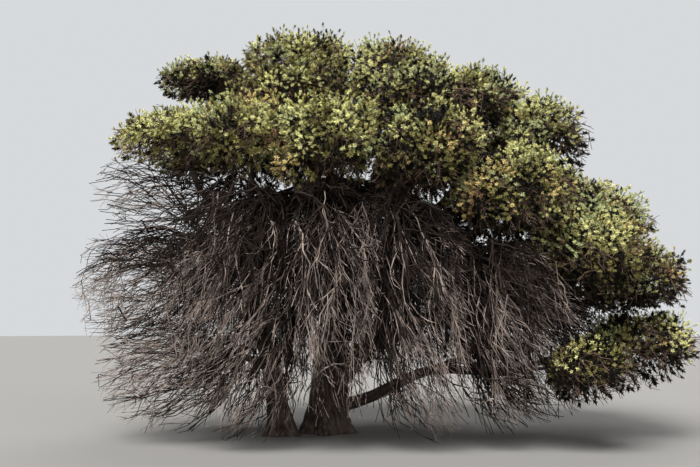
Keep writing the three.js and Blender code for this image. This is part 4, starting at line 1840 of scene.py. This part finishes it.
BARK = BarkFinish()
TWIG_FINISHES = {
    # Weathered twigs darken to a brown under the crown: painted shade, partly bark kept brown there
    Wood.WEATHERED: TwigFinish(
        "weathered_twigs", srgb(32, 25, 21), srgb(172, 155, 145), above=srgb(50, 40, 34)
    ),
    Wood.DARK: TwigFinish("dark_twigs", srgb(16, 12, 10), srgb(50, 39, 33)),
    Wood.DEAD: TwigFinish("dead_twigs", srgb(34, 26, 21), srgb(114, 92, 78)),
    Wood.LEAFY: TwigFinish("leafy_twigs", srgb(20, 15, 11), srgb(44, 33, 26)),
}
NEEDLE_COLORS = {
    Tint.YELLOW_GREEN: srgb(204, 202, 138),
    Tint.GREY_GREEN: srgb(172, 177, 126),
    Tint.OLIVE: srgb(132, 126, 74),
    Tint.GOLDEN: srgb(198, 178, 118),
    Tint.BROWN: srgb(112, 88, 62),
    Tint.SHADE: srgb(22, 19, 11),
}


class NodeTree(Graph):
    """A Geometry Nodes tree with named inputs."""

    KINDS = {int: "NodeSocketInt", float: "NodeSocketFloat", type(None): "NodeSocketMaterial"}

    def __init__(self, name: str) -> None:
        """Start a tree that takes and gives a geometry.

        Args:
            name: The tree's name.
        """
        self.group = bpy.data.node_groups.new(name, "GeometryNodeTree")
        super().__init__(self.group)
        sockets = self.group.interface
        for way in ("INPUT", "OUTPUT"):
            sockets.new_socket("Geometry", in_out=way, socket_type="NodeSocketGeometry")
        self.identifiers: dict[str, str] = {}
        self.entrance = self.add("NodeGroupInput")

    def size(self, name: str, default: float | None = None) -> Socket:
        """Add a named input.

        Args:
            name: The input's name.
            default: Its value if no modifier sets it, or None for a material.

        Returns:
            The socket that gives its value inside the tree.
        """
        kind = self.KINDS[type(default)]
        socket = self.group.interface.new_socket(name, in_out="INPUT", socket_type=kind)
        if default is not None:
            socket.default_value = default
        self.identifiers[name] = socket.identifier
        return self.entrance.outputs[name]

    def math(self, operation: str, first: object, second: object) -> Socket:
        """Return a sum, product or other result of two values."""
        return self.add("ShaderNodeMath", {0: first, 1: second}, operation=operation).outputs[0]

    def attribute(self, name: str, kind: str) -> Socket:
        """Return a named attribute of the points."""
        node = self.add("GeometryNodeInputNamedAttribute", {"Name": name}, data_type=kind)
        return node.outputs[0]

    def end(self, geometry: Socket, material: Socket) -> None:
        """Realize the instances, set the material and give the result.

        Args:
            geometry: What the tree has made.
            material: The material.
        """
        real = self.add("GeometryNodeRealizeInstances", {0: geometry})
        inputs = {"Geometry": real.outputs[0], "Material": material}
        dressed = self.add("GeometryNodeSetMaterial", inputs)
        self.add("NodeGroupOutput", {0: dressed.outputs[0]})

    def apply(self, piece: bpy.types.Object, values: dict[str, object]) -> bpy.types.Object:
        """Turn an object's mesh into what the tree makes of it.

        Args:
            piece: The object, which keeps its name.
            values: A value for each named input.

        Returns:
            The object, with a plain mesh and no modifier.
        """
        modifier = piece.modifiers.new(self.group.name, "NODES")
        modifier.node_group = self.group
        for name, value in values.items():
            modifier[self.identifiers[name]] = value
        evaluated = piece.evaluated_get(bpy.context.evaluated_depsgraph_get())
        made = bpy.data.meshes.new_from_object(evaluated)
        piece.modifiers.remove(modifier)
        old = piece.data
        piece.data = made
        made.name = piece.name
        bpy.data.meshes.remove(old)
        return piece


def twig_tree() -> NodeTree:
    """Build the tree that turns lines with a thickness at each point into closed tubes."""
    tree = NodeTree("twig_tubes")
    sides, material = tree.size("Sides", TUBE_SIDES), tree.size("Material")
    curves = tree.add("GeometryNodeMeshToCurve", {0: tree.entrance.outputs[0]})
    profile = tree.add("GeometryNodeCurvePrimitiveCircle", {"Resolution": sides, "Radius": 1.0})
    thickness = tree.attribute("thickness", "FLOAT")
    tubes = tree.add(
        "GeometryNodeCurveToMesh",
        {0: curves.outputs[0], 1: profile.outputs[0], "Scale": thickness, "Fill Caps": True},
    )
    smooth = tree.add("GeometryNodeSetShadeSmooth", {0: tubes.outputs[0], "Shade Smooth": True})
    tree.end(smooth.outputs[0], material)
    return tree


@dataclass(frozen=True)
class NeedleSpray:
    """A spray: needles in a golden spiral on a short axis, open at its root, closing at its tip."""

    needles: int = 12
    length: float = 0.03
    needle_length: float = 0.031
    needle_width: float = 0.0195
    open_angle: float = 2.0
    closed_angle: float = 0.4
    axis_share: float = 0.72
    turn_jitter: float = 0.3
    seed: int = 5

    def tree(self) -> NodeTree:
        """Build the tree that sets a spray on each point, along the point's way."""
        tree = NodeTree("needle_sprays")
        sizes = [tree.size(name, value) for name, value in self.values().items()]
        count, length, needle_length, needle_width, opened, closed, seed = sizes
        material = tree.size("Material")
        needle = self.needle(tree, needle_length, needle_width)
        last = tree.math("SUBTRACT", count, 1.0)
        step = tree.math("DIVIDE", length, last)
        place = tree.math("MULTIPLY", step, self.axis_share)
        offset = tree.add("ShaderNodeCombineXYZ", {"Z": place})
        axis = tree.add("GeometryNodeMeshLine", {"Count": count, "Offset": offset.outputs[0]})
        index = tree.add("GeometryNodeInputIndex").outputs[0]
        share = tree.math("DIVIDE", index, last)
        angle = tree.add("ShaderNodeMapRange", {"Value": share, "To Min": opened, "To Max": closed})
        tilt = tree.math("SUBTRACT", angle.outputs[0], math.pi / 2)
        jitter = self.draw(tree, -self.turn_jitter, self.turn_jitter, seed)
        turn = tree.math("ADD", tree.math("MULTIPLY", index, GOLDEN_ANGLE), jitter)
        euler = tree.add("ShaderNodeCombineXYZ", {"Y": tilt, "Z": turn})
        rotation = tree.add("FunctionNodeEulerToRotation", {0: euler.outputs[0]})
        spiral = tree.add(
            "GeometryNodeInstanceOnPoints",
            {"Points": axis.outputs[0], "Instance": needle, "Rotation": rotation.outputs[0]},
        )
        spray = tree.add("GeometryNodeRealizeInstances", {0: spiral.outputs[0]})
        points = tree.add("GeometryNodeMeshToPoints", {0: tree.entrance.outputs[0]})
        way = tree.attribute("way", "FLOAT_VECTOR")
        facing = tree.add("FunctionNodeAlignRotationToVector", {"Vector": way}, axis="Z")
        spin = self.draw(tree, 0.0, 2 * math.pi, seed)
        about = tree.add("FunctionNodeAxisAngleToRotation", {0: (0.0, 0.0, 1.0), 1: spin})
        turned = tree.add(
            "FunctionNodeRotateRotation",
            {0: facing.outputs[0], 1: about.outputs[0]},
            rotation_space="LOCAL",
        )
        scattered = tree.add(
            "GeometryNodeInstanceOnPoints",
            {
                "Points": points.outputs[0],
                "Instance": spray.outputs[0],
                "Rotation": turned.outputs[0],
                "Scale": tree.attribute("size", "FLOAT"),
            },
        )
        tree.end(scattered.outputs[0], material)
        return tree

    def draw(self, tree: NodeTree, low: float, high: float, seed: Socket) -> Socket:
        """Return a seeded number for each point."""
        inputs = {2: low, 3: high, "Seed": seed}
        return tree.add("FunctionNodeRandomValue", inputs, data_type="FLOAT").outputs[1]

    def needle(self, tree: NodeTree, length: Socket, width: Socket) -> Socket:
        """Make one needle: a narrow triangle from its root at the origin to its point along +X.

        Args:
            tree: The tree that it is made in.
            length: Its length.
            width: Its width at the root.

        Returns:
            The needle's mesh.
        """
        # A circle of three corners and radius 1 reaches from -0.5 to 1, and is sqrt(3) wide
        triangle = {"Vertices": 3, "Radius": 1.0}
        corner = tree.add("GeometryNodeMeshCircle", triangle, fill_type="NGON")
        move = {0: corner.outputs[0], "Translation": (0.5, 0.0, 0.0)}
        moved = tree.add("GeometryNodeTransform", move)
        along = tree.math("DIVIDE", length, 1.5)
        wide = tree.math("DIVIDE", width, math.sqrt(3))
        stretch = tree.add("ShaderNodeCombineXYZ", {"X": along, "Y": wide, "Z": 1.0})
        scale = {0: moved.outputs[0], "Scale": stretch.outputs[0]}
        return tree.add("GeometryNodeTransform", scale).outputs[0]

    def values(self) -> dict[str, object]:
        """Return a value for each named input but the material."""
        return {
            "Needles": self.needles,
            "Spray length": self.length,
            "Needle length": self.needle_length,
            "Needle width": self.needle_width,
            "Angle at root": self.open_angle,
            "Angle at tip": self.closed_angle,
            "Seed": self.seed,
        }


NEEDLE_SPRAY = NeedleSpray()


def new_piece(
    name: str, vertices: Array, edges: Array, faces: Sequence[Sequence[int]]
) -> bpy.types.Object:
    """Make an object at the origin.

    Args:
        name: Its name.
        vertices: A row for each vertex.
        edges: A row for each loose edge.
        faces: The vertices of each face.

    Returns:
        The object, linked to the scene.
    """
    mesh = bpy.data.meshes.new(name)
    mesh.from_pydata(vertices.tolist(), edges.tolist(), faces)
    mesh.update()
    piece = bpy.data.objects.new(name, mesh)
    bpy.context.scene.collection.objects.link(piece)
    return piece


def set_attribute(piece: bpy.types.Object, name: str, kind: str, values: Array) -> None:
    """Give each vertex of a piece a value.

    Args:
        piece: The piece.
        name: The attribute's name.
        kind: Its type.
        values: The values, a row for each vertex.
    """
    attribute = piece.data.attributes.new(name, kind, "POINT")
    key = "vector" if kind == "FLOAT_VECTOR" else "value"
    attribute.data.foreach_set(key, np.ascontiguousarray(values, np.float32).ravel())


def mount_piece(piece: bpy.types.Object, nodes: Iterable[str]) -> None:
    """Let a piece ride on the tree, stand for some solids and log its triangles.

    Args:
        piece: The piece.
        nodes: The names of the solids.
    """
    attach(piece, "root")
    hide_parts(*nodes)
    triangles = sum(len(face.vertices) - 2 for face in piece.data.polygons)
    LOG.info("%s: %d triangles", piece.name, triangles)


def limb_run(limb: Stem | Bough, tree: Tree) -> Run:
    """Place the fine rings of a limb's bark, and for a bough on along its mass's stem.

    Args:
        limb: The stem or bough.
        tree: The tree.

    Returns:
        The rings' middles and radii.
    """
    span = float(np.linalg.norm(np.diff(limb.line, axis=0), axis=1).sum())
    step = STEM_RING_STEP if isinstance(limb, Stem) else BOUGH_RING_STEP
    shares = np.linspace(0, 1, max(FEWEST_RINGS, int(span / step)))
    if isinstance(limb, Stem):
        shares = shares**STEM_RINGS_LOW
        return Run(limb.point(shares), limb.radius(shares))
    on = tree.mass_stem(limb.mass, MASS_STEM_RINGS)
    taper = np.linspace(1, MASS_STEM_END, MASS_STEM_RINGS + 1)
    points = np.concatenate([limb.point(shares), on.points[1:]])
    return Run(points, np.concatenate([limb.radius(shares), (on.radii * taper)[1:]]))


@dataclass
class LimbBark:
    """The bark of one limb: fine rings, with ridges, knots and fibrous strips in relief."""

    name: str
    run: Run
    stem: Stem | None = None
    ridge: float = 0.15
    knots: float = 0.1
    strips: float = 0.08
    twist: float = 0.55
    ridge_waves: Pair = (1.9, 1.1)
    knot_waves: Pair = (0.8, 2.6)
    strip_waves: Pair = (6.5, 1.7)
    fine_waves: Pair = (15.0, 3.5)
    fine_share: float = 0.5
    stem_sides: int = 84
    sides_per_radius: int = 240
    sides: tuple[int, int] = (10, 28)
    seeds: int = 40

    def build(self) -> bpy.types.Object:
        """Build the limb's mesh, with the vector that its grain follows at each vertex."""
        points, radii = self.run.points, self.run.radii
        sides = self.stem_sides
        if not self.stem:
            sides = int(np.clip(radii[0] * self.sides_per_radius, *self.sides))
        angles = np.arange(sides) * 2 * np.pi / sides
        seed = self.seeds * unit(key_of(self.name))
        steps = np.linalg.norm(np.diff(points, axis=0), axis=1)
        span = np.concatenate([[0], np.cumsum(steps)])
        side, other = np.array([1.0, 0, 0]), np.array([0, 1.0, 0])
        if not self.stem:
            side, other = across(normalized(points[1] - points[0]))
        vertices, grains = [], []
        for i, (point, radius) in enumerate(zip(points, radii)):
            if not self.stem:
                forward = normalized(points[min(i + 1, len(points) - 1)] - points[max(i - 1, 0)])
                side = normalized(side - forward * side.dot(forward))
                other = np.cross(forward, side)
            turned = angles + self.twist * span[i]
            reach = radius * (1 + np.array([self.relief(angle, span[i], seed) for angle in turned]))
            if self.stem:
                reach = reach * self.stem.lobes(point[2], angles)
            ring = point + np.outer(np.cos(angles) * reach, side)
            vertices.append(ring + np.outer(np.sin(angles) * reach, other))
            grain = np.cos(turned) * radius, np.sin(turned) * radius, np.full(sides, span[i])
            grains.append(np.stack(grain, axis=1))
        faces = self.faces(len(points), sides)
        ends = np.stack([points[0], points[-1]])
        vertices = np.concatenate([*vertices, ends])
        piece = new_piece(self.name + "_bark", vertices, NO_EDGES, faces)
        end_grain = np.array([[0, 0, 0], [0, 0, span[-1]]])
        set_attribute(piece, "grain", "FLOAT_VECTOR", np.concatenate([*grains, end_grain]) + seed)
        piece.data.polygons.foreach_set("use_smooth", np.ones(len(faces), bool))
        return piece

    def relief(self, angle: float, along: float, seed: float) -> float:
        """Work out how far the bark stands out at one place.

        Args:
            angle: The place's angle round the limb.
            along: How far along the limb it is.
            seed: A number that sets the limb's bark apart.

        Returns:
            How far it stands out, as a share of the radius.
        """

        def waves(scales: Pair, shift: float) -> float:
            """Return a noise of some scales, round the limb and along it."""
            x, y = math.cos(angle) * scales[0], math.sin(angle) * scales[0]
            return noise.noise(Vector((x, y, along * scales[1] + shift)))

        fine = self.fine_share * waves(self.fine_waves, 3 * seed)
        strips = waves(self.strip_waves, 2 * seed) + fine
        ridges, knots = waves(self.ridge_waves, seed), waves(self.knot_waves, -seed)
        return self.ridge * ridges + self.knots * knots + self.strips * strips

    def faces(self, rings: int, sides: int) -> list[tuple[int, ...]]:
        """List the faces of the skin and of its two closed ends.

        Args:
            rings: How many rings the skin has.
            sides: How many vertices each ring has.

        Returns:
            The vertices of each face.
        """
        faces: list[tuple[int, ...]] = []
        for ring in range(rings - 1):
            for side in range(sides):
                a, b = ring * sides + side, ring * sides + (side + 1) % sides
                faces.append((a, b, b + sides, a + sides))
        last = (rings - 1) * sides
        low, high = rings * sides, rings * sides + 1
        for side in range(sides):
            after = (side + 1) % sides
            faces.append((after, side, low))
            faces.append((last + side, last + after, high))
        return faces


@dataclass
class Dress:
    """Turns what has grown into the pieces of the scene."""

    tree: Tree
    growth: Growth
    most_triangles: int = 170000

    def bark(self) -> None:
        """Build the bark of each stem and bough, and of the stem of each mass without a bough."""
        material = BARK.material()
        barks = []
        for name, limb in self.tree.limbs.items():
            stem = limb if isinstance(limb, Stem) else None
            barks.append((LimbBark(name, limb_run(limb, self.tree), stem), "bark"))
        for name in STEM_GROWN:
            run = self.tree.mass_stem(self.tree.masses[name], BARE_STEM_RINGS)
            barks.append((LimbBark(name, run), "grey_twigs"))
        for bark, slot in barks:
            piece = bark.build()
            piece.data.materials.append(material)
            mount_piece(piece, [bark.name])

    def twigs(self) -> None:
        """Build the twigs, each kind apart."""
        tree = twig_tree()
        for wood, batches in self.growth.twigs.items():
            material = TWIG_FINISHES[wood].material()
            nodes = BARE if wood in (Wood.WEATHERED, Wood.DARK) else FOLIAGE
            for part, batch in enumerate(self.parted(batches)):
                piece = self.lines(f"{wood.value}_twigs_{part + 1}", batch)
                tree.apply(piece, {"Sides": TUBE_SIDES, "Material": material})
                mount_piece(piece, nodes)

    def parted(self, batches: Sequence[Twigs]) -> list[list[Twigs]]:
        """Part batches of twigs so that each piece stays under the most triangles.

        Args:
            batches: The batches.

        Returns:
            Lists of batches, one for each piece.
        """
        parts: list[list[Twigs]] = [[]]
        total = 0
        for batch in batches:
            triangles = 2 * int((TUBE_SIDES * batch.kept - 2).sum())
            if parts[-1] and total + triangles > self.most_triangles:
                parts.append([])
                total = 0
            parts[-1].append(batch)
            total += triangles
        return parts

    def lines(self, name: str, batches: Sequence[Twigs]) -> bpy.types.Object:
        """Make an object of loose lines with a thickness at each point.

        Args:
            name: The object's name.
            batches: The twigs whose middles the lines are.

        Returns:
            The object.
        """
        points, radii, ends = [], [], []
        for batch in batches:
            used = np.arange(batch.points.shape[1]) < batch.kept[:, None]
            points.append(batch.points[used])
            radii.append(batch.radii[used])
            ends.append(batch.kept)
        count = sum(len(part) for part in points)
        firsts = np.delete(np.arange(count), np.cumsum(np.concatenate(ends)) - 1)
        edges = np.stack([firsts, firsts + 1], axis=1)
        piece = new_piece(name, np.concatenate(points), edges, [])
        set_attribute(piece, "thickness", "FLOAT", np.concatenate(radii))
        return piece

    def needles(self) -> None:
        """Build the sprays of needles, each tint apart."""
        tree = NEEDLE_SPRAY.tree()
        sprays = Sprays.joined(self.growth.sprays)
        LOG.info("%d sprays", len(sprays.sizes))
        for number, tint in enumerate(TINTS):
            same = sprays.chosen(sprays.tints == number)
            material = NeedleFinish(f"needles_{tint.value}", NEEDLE_COLORS[tint]).material()
            triangles = len(same.sizes) * NEEDLE_SPRAY.needles
            parts = max(1, math.ceil(triangles / self.most_triangles))
            for part in range(parts):
                some = same.chosen(np.arange(len(same.sizes)) % parts == part)
                name = f"needles_{tint.value}_{part + 1}"
                piece = new_piece(name, some.roots, NO_EDGES, [])
                set_attribute(piece, "way", "FLOAT_VECTOR", some.ways)
                set_attribute(piece, "size", "FLOAT", some.sizes)
                tree.apply(piece, {**NEEDLE_SPRAY.values(), "Material": material})
                mount_piece(piece, FOLIAGE)


@dataclass(frozen=True)
class SoftLight:
    """A far light: its height, turn to the right and spread in degrees, and its strength."""

    name: str
    height: float
    turn: float
    spread: float
    strength: float


@dataclass
class Studio:
    """A pale floor, soft light and the camera at the photograph's angle."""

    image_width: int = 700
    focal_pixels: float = 1056.0
    sensor: float = 36.0
    eye: Triple = (0.327, -15.0, 1.65)
    pitch: float = math.radians(4.37)
    furthest: float = 500.0
    floor_radius: float = 70.0
    floor_sides: int = 96
    floor_color: Color = (0.18, 0.174, 0.165, 1.0)
    floor_roughness: float = 0.95
    sky_color: Color = (0.79, 0.81, 0.83, 1.0)
    sky_light: float = 0.22
    sky_seen: float = 0.86
    lights: tuple[SoftLight, ...] = (
        SoftLight("key", 55, -24, 38, 6.3),
        SoftLight("fill", 28, 15, 70, 1.8),
        SoftLight("rim", 50, 170, 40, 1.8),
    )

    def camera(self) -> None:
        """Place the camera."""
        data = bpy.data.cameras.new("camera")
        data.sensor_width = self.sensor
        data.lens = self.sensor * self.focal_pixels / self.image_width
        data.clip_end = self.furthest
        camera = bpy.data.objects.new("camera", data)
        camera.location = self.eye
        camera.rotation_euler = (math.pi / 2 + self.pitch, 0, 0)
        bpy.context.scene.collection.objects.link(camera)
        bpy.context.scene.camera = camera

    def floor(self) -> None:
        """Lay the floor."""
        material = Shading("floor").surfaced(self.floor_color, self.floor_roughness)
        angles = np.linspace(0, 2 * np.pi, self.floor_sides, endpoint=False)
        ring = np.stack([np.cos(angles), np.sin(angles), 0 * angles], axis=1) * self.floor_radius
        piece = new_piece("floor", ring, NO_EDGES, [range(self.floor_sides)])
        piece.data.materials.append(material)

    def light(self, light: SoftLight) -> None:
        """Add a soft light that shines on the tree from far away.

        Args:
            light: The light.
        """
        data = bpy.data.lights.new(light.name, "SUN")
        data.angle = math.radians(light.spread)
        data.energy = light.strength
        lamp = bpy.data.objects.new(light.name, data)
        lamp.rotation_euler = (math.radians(90 - light.height), 0, math.radians(light.turn))
        bpy.context.scene.collection.objects.link(lamp)

    def sky(self) -> None:
        """Make an even sky, dimmer as a light than as it is seen."""
        world = bpy.data.worlds.new("sky")
        world.use_nodes = True
        graph = Graph(world.node_tree)
        seen = graph.add("ShaderNodeLightPath").outputs["Is Camera Ray"]
        inputs = {"Value": seen, "To Min": self.sky_light, "To Max": self.sky_seen}
        strength = graph.add("ShaderNodeMapRange", inputs).outputs[0]
        sky = graph.nodes["Background"]
        graph.fill(sky, {"Color": self.sky_color, "Strength": strength})
        bpy.context.scene.world = world

    def build(self) -> None:
        """Build the camera, the floor, the sky and the lights."""
        self.camera()
        self.floor()
        self.sky()
        for light in self.lights:
            self.light(light)
        bpy.context.scene.view_settings.view_transform = "Standard"


def main() -> None:
    """Grow the tree, dress it, and light it."""
    tree = Tree()
    growth = Growth(tree)
    for mass in tree.masses.values():
        habit = BareMass if isinstance(mass.plan, BarePlan) else FoliageMass
        habit(mass, growth).grow()
    dress = Dress(tree, growth)
    dress.bark()
    dress.twigs()
    dress.needles()
    Studio().build()


if __name__ == "__main__":
    logging.basicConfig(level=logging.INFO, format="%(message)s")
    main()
